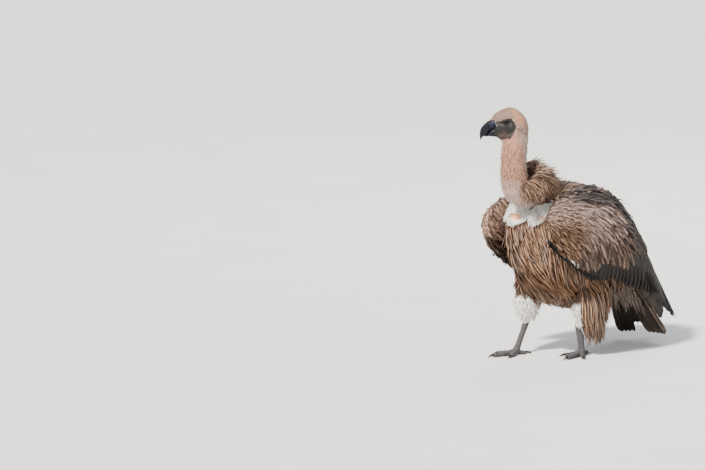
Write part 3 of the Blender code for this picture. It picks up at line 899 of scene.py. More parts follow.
def wing_tones(points):
    """The dark and the pale colour of the wing's coverts."""
    x, y, z = points.T
    blotch = noise(points, 0.045, 34)[:, None]
    fine = noise(points, 0.012, 35)[:, None]
    front = (1 - ramp(y, -0.170, -0.090)) * (1 - 0.8 * ramp(z, 0.405, 0.450)) * np.where(x < 0, 0.0, 1.0)
    low = (1 - ramp(z, 0.330, 0.420)) * (1 - front) * np.where(x < 0, 0.0, 1.0)
    # hang: painted shade, darker low on the front of the right wing where it droops.
    hang = (1 - ramp(z, 0.330, 0.370)) * (x < 0) * (y < -0.12)
    top = near_crest(points) * ramp(y, -0.150, -0.090)
    rear = ramp(y, 0.045, 0.105)
    dark, pale = layered(WING, (
        (front, WING_FRONT), (low, WING_LOWER), (hang, WING_DROOP_SHADE), (top, WING_CREST), (rear, WING_REAR),
    ))
    warm = np.where(x[:, None] < 0, (1.18, 1.08, 1.0), 1.0)
    return warm * dark * (1 + 0.25 * blotch + 0.15 * fine), warm * pale * (1 + 0.16 * blotch + 0.10 * fine)


# ---------------------------------------------------------------- the coat: places and ways
def parts_near(points, groups):
    """How far each point is from each group of solids."""
    found = np.empty((len(points), len(groups)))
    for i, tree in enumerate(groups):
        found[:, i] = [tree.find_nearest(Vector(p))[3] for p in points]
    return found


def tree_of(nodes):
    points, faces = solids_together(nodes)
    return BVHTree.FromPolygons([Vector(p) for p in points], faces)


GROUPS = {
    "neck": ["head", "neck_upper", "neck_lower", "cere", "bill_upper", "bill_lower"],
    "ruff": ["ruff_left", "ruff_right"],
    "trunk": ["trunk"],
    "wing": ["wing_left_arm", "wing_right_arm"],
    "thigh": ["thigh_left", "thigh_right"],
    "foot": ["tarsus_left", "tarsus_right"] + [f"toe_{s}_{t}" for s in ("left", "right") for t in TOE_NAMES],
}


def label_places(points):
    """The index of the group of solids that each place belongs to, with a wavering border."""
    trees = [tree_of(nodes) for nodes in GROUPS.values()]
    wander = 0.002 * np.stack([noise(points, 0.02, 40 + i) for i in range(len(trees))], -1)
    return np.argmin(parts_near(points, trees) + wander, axis=1)


def belongs(labels, *groups):
    """Which labels are those of these groups."""
    return np.isin(labels, [list(GROUPS).index(group) for group in groups])


def paint_skin(mesh):
    """The skin's own colours where it is bare, and where feathers cover it the coat's tones darkened, as
    painted shade between the feathers.
    """
    points = points_of(mesh)
    labels = label_places(points)
    mean = neighbour_mean(mesh)

    def share(*groups):
        values = belongs(labels, *groups).astype(float)[:, None]
        for _ in range(3):
            values = 0.5 * (values + mean(values))
        return values

    # Under feathers: the coat's tones darkened, painted shade in the gaps between them.
    colours = 0.70 * body_tones(points)[0]
    colours = mix(colours, 0.5 * wing_tones(points)[0], share("wing"))
    colours = mix(colours, 0.5 * RUFF_TAWNY, share("ruff"))
    breast = white_breast(points)[:, None] * share("trunk", "neck")
    colours = mix(colours, 0.95 * WHITE_DOWN, breast)
    colours = mix(colours, ORANGE_SKIN, bare_spots(points)[:, None])
    colours = mix(colours, 0.80 * WHITE_DOWN, white_thigh(points)[:, None] * share("thigh"))
    legs = LEG_GREY * (1 + 0.15 * noise(points, 0.004, 22)[:, None])
    feet = np.maximum(share("foot"), 1 - ramp(points[:, 2:3], 0.084, 0.092))
    colours = mix(colours, legs, feet)
    colours = mix(colours, head_skin_colours(points), share("neck"))
    put_colour(mesh, "tint", colours)
    put_vector(mesh, "kind", np.concatenate([feet, share("neck"), 0 * feet], -1))


# ---------------------------------------------------------------- the coat: how vanes are made
PLACES_TRIED = 4  # for each place that a spacing leaves room for
LEAST_GAP = 0.82  # between two places, as a share of the spacing


class Surface:
    """A mesh that feathers lie along, with the nearest place on it to any point."""

    def __init__(self, obj):
        mesh = obj.data
        self.points = points_of(mesh)
        self.normals = normals_of(mesh)
        faces = [tuple(polygon.vertices) for polygon in mesh.polygons]
        self.tree = BVHTree.FromPolygons([Vector(p) for p in self.points], faces)
        self.corners = np.array([face[:3] + face[-1:] for face in faces])
        self.centres = self.points[self.corners].mean(1)

    def nearest(self, places):
        """The nearest points on the surface, their smooth normals, and the faces they lie on."""
        flat = places.reshape(-1, 3)
        found = np.empty(flat.shape)
        faces = np.empty(len(flat), int)
        find = self.tree.find_nearest
        for i, place in enumerate(flat):
            location, _, faces[i], _ = find(place)
            found[i] = location
        near = self.corners[faces]
        weights = 1 / (np.linalg.norm(self.points[near] - found[:, None], axis=-1) + 1e-5) ** 2
        normals = unit((self.normals[near] * weights[..., None]).sum(1))
        return found.reshape(places.shape), normals.reshape(places.shape), faces

    def scatter(self, spacing, where, seed, area=None):
        """Places about spacing apart on the faces of the area, kept by the chance where(places, normals)."""
        rng = np.random.default_rng(seed)
        a, b, c, d = (self.points[self.corners[:, i]] for i in range(4))
        areas = 0.5 * np.linalg.norm(np.cross(c - a, d - b), axis=1)
        wanted = where(self.centres, unit(np.cross(c - a, d - b))) > 0
        if area is not None:
            wanted = wanted & area
        if not wanted.any():
            return np.zeros((0, 3))
        chances = np.cumsum(areas * wanted)
        count = int(chances[-1] / spacing**2 * PLACES_TRIED)
        chosen = np.searchsorted(chances, rng.random(count) * chances[-1])
        s, t = rng.random((2, count, 1))
        places = mix(mix(a[chosen], b[chosen], s), mix(d[chosen], c[chosen], s), t)
        normals = self.normals[self.corners[chosen]].mean(1)
        kept = rng.random(count) < where(places, unit(normals))
        return thinned(places[kept], spacing * LEAST_GAP)


def thinned(places, gap):
    """Leaves out each place nearer than gap to an earlier one."""
    cells, kept = {}, []
    keys = np.floor(places / gap).astype(int)
    around = list(itertools.product((-1, 0, 1), repeat=3))
    for i, (x, y, z) in enumerate(keys.tolist()):
        p = places[i]
        near = (cells.get((x + dx, y + dy, z + dz), ()) for dx, dy, dz in around)
        if all(np.dot(p - q, p - q) > gap * gap for group in near for q in group):
            cells.setdefault((x, y, z), []).append(p)
            kept.append(i)
    return places[kept]


def widening(t, share, power):
    """0 at t = 0, and full width from that share of the way on."""
    return np.clip(t / share, 0, 1) ** power


def round_end(t, share, power):
    """Full width that closes in a round tip over the last share of the way."""
    return np.sqrt(np.clip(1 - np.clip((t - (1 - share)) / share, 0, 1) ** power, 0, 1))


# Half-width along a vane, from its root at 0 to its tip at 1.
def lance(t):
    return widening(t, 0.30, 0.7) * widening(1 - t, 0.72, 0.75)


def rounded(t):
    return widening(t, 0.35, 0.6) * round_end(t, 0.38, 2.2)


def sliver(t):
    return widening(t, 0.12, 0.5) * widening(1 - t, 1.0, 0.8)


def pointed(t):
    return widening(t, 0.12, 0.5) * widening(1 - t, 0.30, 0.5)


def broad(t):
    return widening(t, 0.12, 0.5) * round_end(t, 0.14, 2.4)


# Places round a vane's section, across and up, in half-widths.
SECTIONS = {
    "tuft": [(-1.0, 0.0), (0.0, 0.30), (1.0, 0.0)],
    "vane": [(-1.0, 0.0), (-0.5, 0.09), (0.0, 0.16), (0.5, 0.09), (1.0, 0.0)],
    "quill": [
        (-1.0, 0.0), (-0.6, 0.030), (-0.12, 0.055), (0.0, 0.10), (0.12, 0.055), (0.6, 0.030),
        (1.0, 0.0),
    ],
}
PATCH = 0.003  # a vane's size on the bake map
PLAIN = (0, 0, 0)  # the marks of down: no streak, edge or dark tip


class Coat:
    """Collects vanes and makes them one mesh."""

    def __init__(self, name, section):
        self.name = name
        self.section = np.array(SECTIONS[section])
        self.parts = []

    def add(self, lines, normals, widths, shape, tint, pale, marks, uv, seed, roll=0.0, worn=0.13):
        """Vanes along lines (vane, row, xyz). widths is each vane's half-width; tint and pale are the
        dark and the pale colour of each vane; marks are its streak, edge and dark tip; roll turns
        vanes about their lines, and worn is how uneven their edges are."""
        count, rows = lines.shape[:2]
        rng = np.random.default_rng(seed)
        t = np.linspace(0, 1, rows)
        ahead = np.gradient(lines, axis=1)
        across = unit(np.cross(unit(ahead), normals))
        rise = unit(np.cross(across, unit(ahead)))
        tilt = roll * rng.normal(size=(count, 1, 1))
        c, s = np.cos(tilt), np.sin(tilt)
        across, rise = across * c + rise * s, rise * c - across * s
        half = widths[:, None] * shape(t)[None]
        ragged = 1 + worn * rng.normal(size=(count, rows, 2)).clip(-1.5, 1.5)
        side = self.section[:, 0]
        reach = np.where(side < 0, ragged[:, :, :1], ragged[:, :, 1:]) * side
        rings = lines[:, :, None] + across[:, :, None] * (half[:, :, None] * reach)[..., None]
        rings = rings + rise[:, :, None] * (half[:, :, None] * self.section[:, 1])[..., None]
        around = len(side)
        points = np.concatenate([rings[:, :-1].reshape(count, -1, 3), lines[:, -1:]], 1)
        along = np.append(np.repeat(t[:-1], around), 1.0)
        beside = np.append(np.tile(side, rows - 1), 0.0)
        each = np.ones((count, 1))
        seeds = rng.random((count, 1)) * np.ones((1, len(along)))
        length = np.linalg.norm(np.diff(lines, axis=1), axis=-1).sum(1)
        spots = np.stack([0.45 * beside * each, (along - 0.5) * each], -1)
        self.parts.append({
            "rows": rows,
            "points": points,
            "lie": np.stack([beside * each, along * each, seeds], -1),
            "span": np.stack([beside * widths[:, None], along * length[:, None], seeds], -1),
            "uv": uv[:, None] + PATCH * spots,
            "tint": np.repeat(tint[:, None], len(along), 1),
            "pale": np.repeat(pale[:, None], len(along), 1),
            "marks": np.repeat(marks[:, None], len(along), 1),
        })

    def faces_of(self, rows):
        """Corners and sizes of the faces of one vane with that many rows."""
        around = len(self.section)
        loops, sizes = [], []
        for i, j in itertools.product(range(rows - 2), range(around)):
            k = (j + 1) % around
            loops += [i * around + j, (i + 1) * around + j, (i + 1) * around + k, i * around + k]
            sizes.append(4)
        tip, last = (rows - 1) * around, (rows - 2) * around
        for j in range(around):
            loops += [last + j, tip, last + (j + 1) % around]
            sizes.append(3)
        loops += list(range(around))
        sizes.append(around)
        return np.array(loops), np.array(sizes)

    def make(self):
        """One object of all the vanes, with what its material reads and the bake map."""
        loops, sizes, start = [], [], 0
        for part in self.parts:
            corners, counts = self.faces_of(part["rows"])
            count, each = part["points"].shape[:2]
            loops.append((corners[None] + start + each * np.arange(count)[:, None]).ravel())
            sizes.append(np.tile(counts, count))
            start += count * each
        loops, sizes = np.concatenate(loops), np.concatenate(sizes)
        flat = {
            key: np.concatenate([part[key].reshape(-1, part[key].shape[-1]) for part in self.parts])
            for key in ("points", "lie", "span", "uv", "tint", "pale", "marks")
        }
        mesh = bpy.data.meshes.new(self.name)
        mesh.vertices.add(len(flat["points"]))
        mesh.vertices.foreach_set("co", flat["points"].astype(np.float32).ravel())
        mesh.loops.add(len(loops))
        mesh.loops.foreach_set("vertex_index", loops.astype(np.int32))
        mesh.polygons.add(len(sizes))
        starts = np.concatenate([[0], np.cumsum(sizes)[:-1]])
        mesh.polygons.foreach_set("loop_start", starts.astype(np.int32))
        mesh.update(calc_edges=True)
        layer = mesh.uv_layers.new(name="OFBake")
        layer.data.foreach_set("uv", np.clip(flat["uv"][loops], 0, 1).astype(np.float32).ravel())
        for name in ("tint", "pale"):
            put_colour(mesh, name, flat[name])
        for name in ("lie", "span", "marks"):
            put_vector(mesh, name, flat[name])
        return new_object(self.name, mesh)


class Unwrap:
    """The skin's own unwrap: where each place on the coat lies on the bake map."""

    def __init__(self, skin):
        mesh = skin.data
        mesh.uv_layers.active = mesh.uv_layers.new(name="OFBake")
        bpy.context.view_layer.objects.active = skin
        skin.select_set(True)
        bpy.ops.object.mode_set(mode="EDIT")
        bpy.ops.mesh.select_all(action="SELECT")
        bpy.ops.uv.smart_project(angle_limit=math.radians(66), island_margin=0.003)
        bpy.ops.object.mode_set(mode="OBJECT")
        skin.select_set(False)
        uvs = read(mesh.uv_layers["OFBake"].data, "uv", 2)
        starts = read(mesh.polygons, "loop_start", 1, np.int32)
        totals = read(mesh.polygons, "loop_total", 1, np.int32)
        self.centres = np.stack([uvs[starts + np.minimum(i, totals - 1)] for i in range(4)], 1).mean(1)
        self.surface = None

    def at(self, places):
        return self.centres[self.surface.nearest(places)[2]]


def follow(surface, roots, flow, lengths, rows, lift, free=1.0):
    """Lines that run over the surface from their roots along flow(points, normals), and rise off it
    by lift(share of the way, vane), in metres. Past the share free they leave it and hang."""
    count = len(roots)
    line = np.empty((count, rows, 3))
    normals = np.empty((count, rows, 3))
    here, normal, _ = surface.nearest(roots)
    way = np.zeros((count, 3))
    step = (lengths / (rows - 1))[:, None]
    for i in range(rows):
        line[:, i], normals[:, i] = here, normal
        wanted = flow(here, normal)
        wanted = unit(wanted - (wanted * normal).sum(1, keepdims=True) * normal)
        if i < free * (rows - 1):
            way = unit(wanted if i == 0 else 0.45 * way + 0.55 * wanted)
        if i >= free * (rows - 1):
            way = unit(0.80 * way - 0.20 * Z)
            here = here + way * step
            continue
        way = unit(way - (way * normal).sum(1, keepdims=True) * normal)
        if i + 1 < rows:
            here, normal, _ = surface.nearest(here + way * step)
    t = np.linspace(0, 1, rows)[None]
    return line + normals * lift(t)[..., None], normals


class Bird:
    """The skin as a surface that feathers grow on, with its labels and its unwrap."""

    def __init__(self, skin):
        self.unwrap = Unwrap(skin)
        self.surface = Surface(skin)
        self.unwrap.surface = self.surface
        self.labels = label_places(self.surface.centres)

    def on(self, *groups):
        """Which faces belong to these groups."""
        return belongs(self.labels, *groups)


def make_guide(name, nodes, voxel, depth, turned=lambda points: points):
    """A smooth surface through some solids, inset by depth(points), that feathers can lie along."""
    guide = gathered(name, nodes)
    bake_modifier(guide, "REMESH", mode="VOXEL", voxel_size=voxel)
    relax(guide.data, 12)
    move_points(guide.data, lambda points, normals: turned(points - normals * depth(points)[:, None]))
    return guide, Surface(guide)


def grow(bird, coat, surface, roots, flow, length, width, rows, rise, shape, tones, marks, seed,
         roll=0.0, spread=0.0, sunk=0.001, free=1.0, curl=1.0):
    """Adds one vane at each root.

    rise is how far the tips stand off, and curl how late they do so; marks are streak, edge and
    dark tip; spread is how far the tips stray; sunk is the depth of the roots; past the share free
    of its length a vane hangs.
    """
    if not len(roots):
        return
    rng = np.random.default_rng(seed)
    count = len(roots)
    size = rng.uniform(0.84, 1.16, count)
    heights = rise * rng.uniform(0.6, 1.25, (count, 1))

    def lift(t):
        return heights * t**curl - sunk * np.clip(1 - t / 0.25, 0, 1)

    lines, normals = follow(surface, roots, flow, length * size, rows, lift, free)
    if spread:
        stray = rng.normal(size=(count, 1, 3)) * spread
        lines += stray * (np.linspace(0, 1, rows)[None, :, None] ** 1.5)
    dark, pale = tones(lines[:, rows // 2])
    shade = 1 + 0.10 * rng.normal(size=(count, 1)).clip(-2, 2)
    marks = np.asarray(marks, float) * rng.uniform(0.75, 1.1, (count, 3))
    uv = bird.unwrap.at(roots)
    coat.add(lines, normals, width * size, shape, dark * shade, pale * shade, marks, uv, seed + 1, roll)


# ---------------------------------------------------------------- the coat: head and neck
def plumed(points, normals):
    """0 where the head is bare or horn, 1 where down grows."""
    f, _, u = to_head(points + 0.0015 * noise(points, 0.006, 51)[:, None]).T
    bare = patch(f, u, FACE, 0.0012) * ramp(points[:, 2], 0.648, 0.656)
    over_bill = behind_bill(f, u) > -0.001
    return (1 - bare) * ~(over_bill & (f > 0.02) & (u < 0.019) & (u > -0.045))


def neck_flow(points, normals):
    """Down the neck, and back over the head."""
    on_head = ramp(points[:, 2], 0.655, 0.690)[:, None]
    back = -HEAD_AXES[0] - 0.35 * HEAD_AXES[2]
    ways = noise(points, 0.010, 52)[:, None] * np.cross(normals, Z) * 0.5
    return mix(-Z + ways, back + 0.5 * ways, on_head)


def neck_tones(points):
    """White down, tinged by the skin under it."""
    f, _, u = to_head(points).T
    skin = head_skin_colours(points)
    height = points[:, 2:3]
    rear = ramp(f, 0.005, -0.030)[:, None]
    share = mix(0.62, 0.75, rear)
    share = mix(0.85, share, ramp(height, 0.505, 0.560))
    share = mix(share, 0.26 + 0.22 * noise(points, 0.006, 53)[:, None], ramp(height, 0.655, 0.690))
    rim = stroke(f, u, WHITE_RIM, 0.0035)[:, None]
    down = mix(mix(skin, NECK_DOWN, share), RIM_DOWN, 0.95 * rim)
    return mix(0.75 * skin, down, ramp(height, 0.640, 0.690) * 0.5), down * 1.06


def behind_neck(points):
    """How far back, and a little to the bird's right, a place on the neck lies."""
    return points[:, 1] - 0.25 * points[:, 0]


def bristle_share(points, normals):
    """Down is dense behind and thin in front, where the neck's skin shows between tufts."""
    rear = ramp(behind_neck(points), -0.285, -0.245)
    low = 1 - ramp(points[:, 2], 0.510, 0.550)
    return 0.42 + 0.58 * np.maximum(rear, low)


def grow_down(bird):
    """Short down over head and neck, bristling at the neck's front."""
    surface = bird.surface
    head = Coat("down_head", "tuft")
    high = surface.centres[:, 2] > 0.642
    roots = surface.scatter(0.0021, plumed, 61, bird.on("neck") & high)
    grow(bird, head, surface, roots, neck_flow, 0.0056, 0.00062, 4, 0.0020, sliver, neck_tones,
         PLAIN, 62, roll=0.4, spread=0.0009)
    neck = Coat("down_neck", "tuft")
    roots = surface.scatter(0.0031, bristle_share, 63, bird.on("neck") & ~high)
    front = 1 - ramp(behind_neck(roots), -0.310, -0.285)
    rise = mix(0.0042, 0.0085, front)[:, None]
    grow(bird, neck, surface, roots, neck_flow, 0.0105, 0.00115, 4, rise, sliver, neck_tones,
         PLAIN, 64, roll=0.5, spread=0.0026, curl=0.8)
    return [(head, "head"), (neck, "neck")]


# ---------------------------------------------------------------- the coat: ruff
RUFF_HEART = np.array([0.018, -0.232, 0.545])


def ruff_flow(points, normals):
    """Away from the neck at the ruff's middle height: up above it, back and down below it."""
    heart = RUFF_HEART * np.where(points[:, :1] < 0, (-1, 1, 1), (1, 1, 1))
    way = points - heart
    twist = np.cross(normals, way) * 0.35 * noise(points, 0.014, 71)[:, None]
    return way + twist + 0.010 * Y


def ruff_tones(points):
    """Tawny with darker patches, and paler streaks towards the ruff's top."""
    tone = noise(points, 0.018, 72)[:, None]
    top = ramp(points[:, 2:3], 0.545, 0.600)
    return mix(RUFF_TAWNY, RUFF_DARK, ramp(tone, -0.1, 0.5)), mix(RUFF_PALE, RUFF_TOP_PALE, top)


def ruff_share(points, normals):
    """Less of the ruff hangs over the crop's front."""
    x, y, z = points.T
    crop = (1 - ramp(y, -0.270, -0.235)) * (1 - ramp(z, 0.490, 0.505))
    far = ramp(-x, 0.000, 0.015) * (1 - ramp(y, -0.215, -0.185))
    covered = np.max([white_breast(points - drop * Z) for drop in (0.0, 0.015, 0.030, 0.045)], axis=0)
    return (1 - np.maximum(0.9 * crop, far)) * (1 - covered)


def grow_ruff(bird):
    """Lances with long wisps over them, and thin bristles on the far side of the neck's front."""
    coat = Coat("ruff_lances", "vane")
    surface, area = bird.surface, bird.on("ruff")
    roots = surface.scatter(0.0068, ruff_share, 73, area)
    grow(bird, coat, surface, roots, ruff_flow, 0.043, 0.0031, 9, 0.014, lance, ruff_tones,
         (1.0, 0.25, 0), 74, roll=0.45, spread=0.0080, curl=1.6)
    wisps = Coat("ruff_wisps", "tuft")
    roots = surface.scatter(0.0052, ruff_share, 75, area)
    size = mix(0.048, 0.066, ramp(roots[:, 2], 0.545, 0.585)) * np.where(roots[:, 0] < 0, 0.7, 1.0)
    grow(bird, wisps, surface, roots, ruff_flow, size, 0.0012, 8, 0.021, sliver, ruff_tones,
         (0.9, 0, 0), 76, roll=0.6, spread=0.013, curl=1.7)
    bristles = Coat("ruff_bristles", "tuft")

    def far_front(points, normals):
        z = points[:, 2]
        faces_left = ramp(-to_right(normals[:, 0], normals[:, 1]), 0.55, 0.85)
        return (z > 0.490) * (z < 0.575) * faces_left

    roots = surface.scatter(0.0100, far_front, 77, bird.on("neck", "ruff"))
    grow(bird, bristles, surface, roots, ruff_flow, 0.026, 0.0007, 6, 0.0180, sliver, ruff_tones,
         (0.9, 0, 0), 78, roll=0.6, spread=0.012, curl=1.2)
    return [(coat, "ruff"), (wisps, "ruff"), (bristles, "ruff")]


# ---------------------------------------------------------------- the coat: trunk and thighs
def body_flow(points, normals):
    """Aslant down the breast, back along the belly and the back, and down the thighs."""
    x, _, z = points.T
    belly = np.array([0.10, 0.80, -0.55])
    leg = np.array([0.0, 0.20, -1.0])
    back = np.array([0.0, 1.0, -0.25])
    slant = ramp(-x, -0.085, -0.035)
    down = np.stack([mix(0.10, 0.85, slant), mix(0.25, -0.05, slant), np.full(len(x), -0.95)], -1)
    way = mix(belly, down, ramp(z, 0.190, 0.260)[:, None])
    way = mix(way, leg, (1 - ramp(z, 0.160, 0.225))[:, None] * (np.abs(x) > 0.030)[:, None])
    way = mix(way, back, ramp(normals[:, 2], 0.0, 0.5)[:, None])
    sway = 0.26 * noise(points, 0.040, 81) + 0.16 * noise(points, 0.015, 82)
    return way + np.cross(normals, way) * sway[:, None]


def brown_area(points, normals):
    """Where lances root: not on the white patches, nor so close above them that they would cover them."""
    way = unit(body_flow(points, normals))
    reaches = (0.0, 0.015, 0.030, 0.045, 0.060)
    covered = np.max([white_breast(points + reach * way) for reach in reaches], axis=0)
    x, y, z = points.T
    under_crop = (z > 0.462) * (y < BREAST_REAR) * (np.abs(x) < 0.115)
    return (1 - ramp(covered, 0.35, 0.65)) * (z > 0.090) * (1 - under_crop)


def lance_tones(points):
    """The trunk's tones, drifting between rufous and grey from feather to feather."""
    dark, pale = body_tones(points)
    drift = noise(points, 0.022, 83)[:, None]
    warm = np.array([1.12, 1.0, 0.86])
    cool = np.array([0.92, 0.98, 1.10])
    tint = mix(cool, warm, ramp(drift, -0.5, 0.5))
    return dark * tint * (1 + 0.25 * noise(points, 0.010, 84)[:, None]), pale * tint


def grow_body(bird):
    """Long lances over breast, belly, flanks and back, in a front and a rear piece."""
    pieces = []
    surface, area = bird.surface, bird.on("trunk")
    front = surface.centres[:, 1] < -0.02
    for name, share, seed in (("lances_front", front, 82), ("lances_rear", ~front, 92)):
        coat = Coat(name, "vane")
        roots = surface.scatter(0.0112, brown_area, seed, area & share)
        size = mix(0.058, 0.080, ramp(0.46 - roots[:, 2], 0.03, 0.16))
        grow(bird, coat, surface, roots, body_flow, size, 0.0060, 9, 0.0145, lance, lance_tones,
             (1.0, 0.10, 0.15), seed + 1, roll=0.30, spread=0.0055, sunk=0.003)
        under = surface.scatter(0.0080, brown_area, seed + 2, area & share)
        grow(bird, coat, surface, under, body_flow, 0.042, 0.0048, 5, 0.0070, lance, lance_tones,
             (0.45, 0.0, 0.2), seed + 3, roll=0.30, spread=0.0040, sunk=0.002)
        pieces.append((coat, "trunk"))
    return pieces


def leg_flow(points, normals):
    """Down the leg and a little back."""
    way = np.array([0.0, 0.22, -1.0])
    sway = 0.22 * noise(points, 0.020, 106)[:, None]
    return way + np.cross(normals, way) * sway


def grow_legs(bird, side, leg):
    """Long trouser lances, shorter ones over the hip, and white down low on the leg."""
    coat = Coat("trousers_" + side, "vane")
    tips_at = 0.036 if side == "left" else 0.190

    def brown(points, normals):
        x, y, z = points.T
        low = np.where(to_right(x, y) < 0.008, 0.205, 0.088) if side == "left" else 0.212
        return (1 - ramp(white_thigh(points), 0.4, 0.7)) * (z > low)

    roots = leg.scatter(0.0088, brown, 101)
    front = 1 - ramp(to_right(roots[:, 0], roots[:, 1]), -0.02, 0.03)
    reach = roots[:, 2] - tips_at - 0.035 * front * (side == "left")
    size = np.clip(reach * np.random.default_rng(105).uniform(0.75, 1.10, len(roots)), 0.026, 0.096)
    grow(bird, coat, leg, roots, leg_flow, size, 0.0050, 9, 0.0120, lance, lance_tones,
         (1.0, 0.1, 0.0), 102, roll=0.35, spread=0.0060, sunk=0.002, free=0.55)

    def hip(points, normals):
        return (points[:, 2] > 0.195) * (points[:, 0] * SIDES[side] > 0)

    roots = bird.surface.scatter(0.0095, hip, 103, bird.on("thigh"))
    grow(bird, coat, bird.surface, roots, leg_flow, 0.045, 0.0050, 9, 0.0080, lance, lance_tones,
         (1.0, 0.1, 0.0), 104, roll=0.30, spread=0.0060, sunk=0.002)
    white = Coat("leg_down_" + side, "tuft")

    def pale(points, normals):
        return ramp(white_thigh(points), 0.3, 0.6) * (points[:, 2] > 0.080)

    roots = leg.scatter(0.0026, pale, 115)
    grow(bird, white, leg, roots, leg_flow, 0.0125, 0.0017, 4, 0.0085, sliver, fluff_tones,
         PLAIN, 116, roll=0.6, spread=0.0035, curl=0.7)
    return [(coat, "thigh"), (white, "thigh")]


def fluff_flow(points, normals):
    """Down, with each tuft turned its own way."""
    turn = noise(points, 0.012, 111)[:, None] * 1.6
    return -Z + np.cross(normals, Z) * turn


def fluff_tones(points):
    """White down, with bare orange skin showing through in two places."""
    orange = bare_spots(points)[:, None]
    shadow = 1 - 0.10 * ramp(noise(points, 0.010, 112)[:, None], 0.1, 0.7)
    return mix(WHITE_DOWN * shadow, ORANGE_SKIN, orange), mix(WHITE_DOWN * 1.06, ORANGE_SKIN, orange)


def grow_white(bird):
    """Fluffy white down on the breast's patches."""
    coat = Coat("white_down", "tuft")
    surface, area = bird.surface, bird.on("trunk", "neck")

    def breast(points, normals):
        return ramp(white_breast(points), 0.3, 0.6) * (1 - ramp(bare_spots(points), 0.1, 0.4))

    roots = surface.scatter(0.0026, breast, 113, area)
    grow(bird, coat, surface, roots, fluff_flow, 0.0100, 0.0016, 4, 0.0110, sliver, fluff_tones,
         PLAIN, 114, roll=0.6, spread=0.0035, curl=0.7)
    return [(coat, "trunk")]


# ---------------------------------------------------------------- the coat: wings
WING_LOW = [  # the wing's lower edge, front to back, in y and z
    (-0.250, 0.370), (-0.210, 0.332), (-0.150, 0.292), (-0.086, 0.256), (-0.023, 0.229), (0.047, 0.220),
    (0.098, 0.191), (0.162, 0.176), (0.219, 0.148), (0.277, 0.106), (0.340, 0.064),
]
RIGHT_DROOP = 0.037  # how much lower the right wing's edge hangs in front


def low_edge(side, y):
    """The height of the wing's lower edge."""
    edge = np.array(WING_LOW)
    droop = RIGHT_DROOP * (1 - ramp(y, 0.100, 0.250)) if side == "right" else 0.0
    return np.interp(y, edge[:, 0], edge[:, 1]) - droop


def wing_flow(points, normals):
    """Down and back over the wing's side, more back at both its ends, and back along its top."""
    x, y, z = points.T
    top = np.array([0.0, 1.0, -0.28])
    ends = np.maximum(1 - ramp(y, -0.190, -0.090), ramp(y, 0.020, 0.140))
    side = np.stack([0 * x, mix(0.36, 0.72, ends), mix(-0.92, -0.72, ends)], -1)
    way = mix(side, top, (ramp(z, 0.430, 0.475) * ramp(y, -0.170, -0.120))[:, None])
    sway = 0.20 * noise(points, 0.03, 121) + 0.16 * noise(points, 0.010, 123)
    return way + np.cross(normals, way) * sway[:, None]


def outer_face(points, normals):
    """The wing's outside: not the side that lies against the trunk."""
    outward = normals[:, 0] * np.sign(points[:, 0])
    ahead = np.maximum(ramp(-normals[:, 1], -0.05, 0.20) * (points[:, 1] < -0.090), points[:, 1] < -0.150)
    return np.clip(ramp(outward, -0.15, 0.15) + ramp(normals[:, 2], 0.25, 0.5) + ahead, 0, 1)


# How high above the wing's lower edge the lowest coverts root, along y.
COVERT_BORDER = [
    (-0.250, -0.008), (-0.145, 0.006), (-0.110, 0.030), (-0.075, 0.086), (0.055, 0.104),
    (0.120, 0.135),
]
# Each layer of coverts: spacing, length, half-width, rise, outline and seed.
COVERT_LAYERS = {
    "coverts": (0.0082, 0.030, 0.0044, 0.0045, lance, 122),
    "coverts_under": (0.0125, 0.046, 0.0086, 0.0028, rounded, 126),
}


def grow_coverts(bird, side, wing):
    """Rows of small feathers down to the ends of the greater coverts, longer towards the edge."""
    pieces = []

    def above(points):
        return points[:, 2] - low_edge(side, points[:, 1])

    def shown(points, normals):
        y = points[:, 1]
        ahead = 1 - ramp(y + 0.010 * noise(points, 0.02, 124), 0.125, 0.150)
        border = np.interp(y, *zip(*COVERT_BORDER)) + 0.008 * noise(points, 0.02, 125)
        return outer_face(points, normals) * ahead * (above(points) > border)

    for name, (spacing, length, width, rise, shape, seed) in COVERT_LAYERS.items():
        coat = Coat(f"{name}_{side}", "vane")
        roots = wing.scatter(spacing, shown, seed)
        low = 1 - ramp(above(roots), 0.110, 0.190)
        front = 1 - ramp(roots[:, 1], -0.200, -0.110)
        size = mix(1.0, 1.45, low) * mix(1.0, 0.55, front)
        grow(bird, coat, wing, roots, wing_flow, length * size, width * size**0.7, 7, rise, shape,
             wing_tones, (0.95, 0.35, 0.1), seed + 1, roll=0.28, spread=0.0040)
        if name == "coverts":
            cover_shoulder(bird, side, wing, coat)
        pieces.append((coat, "wing"))
    return pieces


def cover_shoulder(bird, side, wing, coat):
    """Small feathers where the shoulder's skin stands out between wing and breast."""

    def shown(points, normals):
        x, y, z = points.T
        clear = 1 - np.max([white_breast(points - drop * Z) for drop in (0.0, 0.012)], axis=0)
        return (x * SIDES[side] > 0.02) * (y < -0.060) * (z > 0.300) * clear

    roots = bird.surface.scatter(0.0056, shown, 127, bird.on("wing"))
    near, normals, _ = wing.nearest(roots)
    roots = roots[((roots - near) * normals).sum(1) > -0.0030]
    grow(bird, coat, bird.surface, roots, wing_flow, 0.021, 0.0036, 7, 0.0045, lance, wing_tones,
         (0.95, 0.35, 0.1), 128, roll=0.30, spread=0.0030)


def scapular_tones(points):
    """Dark with a pale edge along the wings' top line, and the back's brown in front and inside."""
    tone = ramp(noise(points, 0.03, 131)[:, None], -0.2, 0.5)
    ahead = 1 - ramp(points[:, 1:2], -0.190, -0.130) * near_crest(points)[:, None]
    dark = mix(SCAPULAR[0], BACK[0], np.maximum(tone * 0.3, ahead))
    return dark, mix(SCAPULAR[1], BACK[1], np.maximum(tone * 0.18, ahead))


def ridge_tones(points):
    """The dark feathers along the wings' top line."""
    shade = 1 + 0.3 * noise(points, 0.02, 138)[:, None]
    return SCAPULAR[0] * shade, SCAPULAR[1] * shade


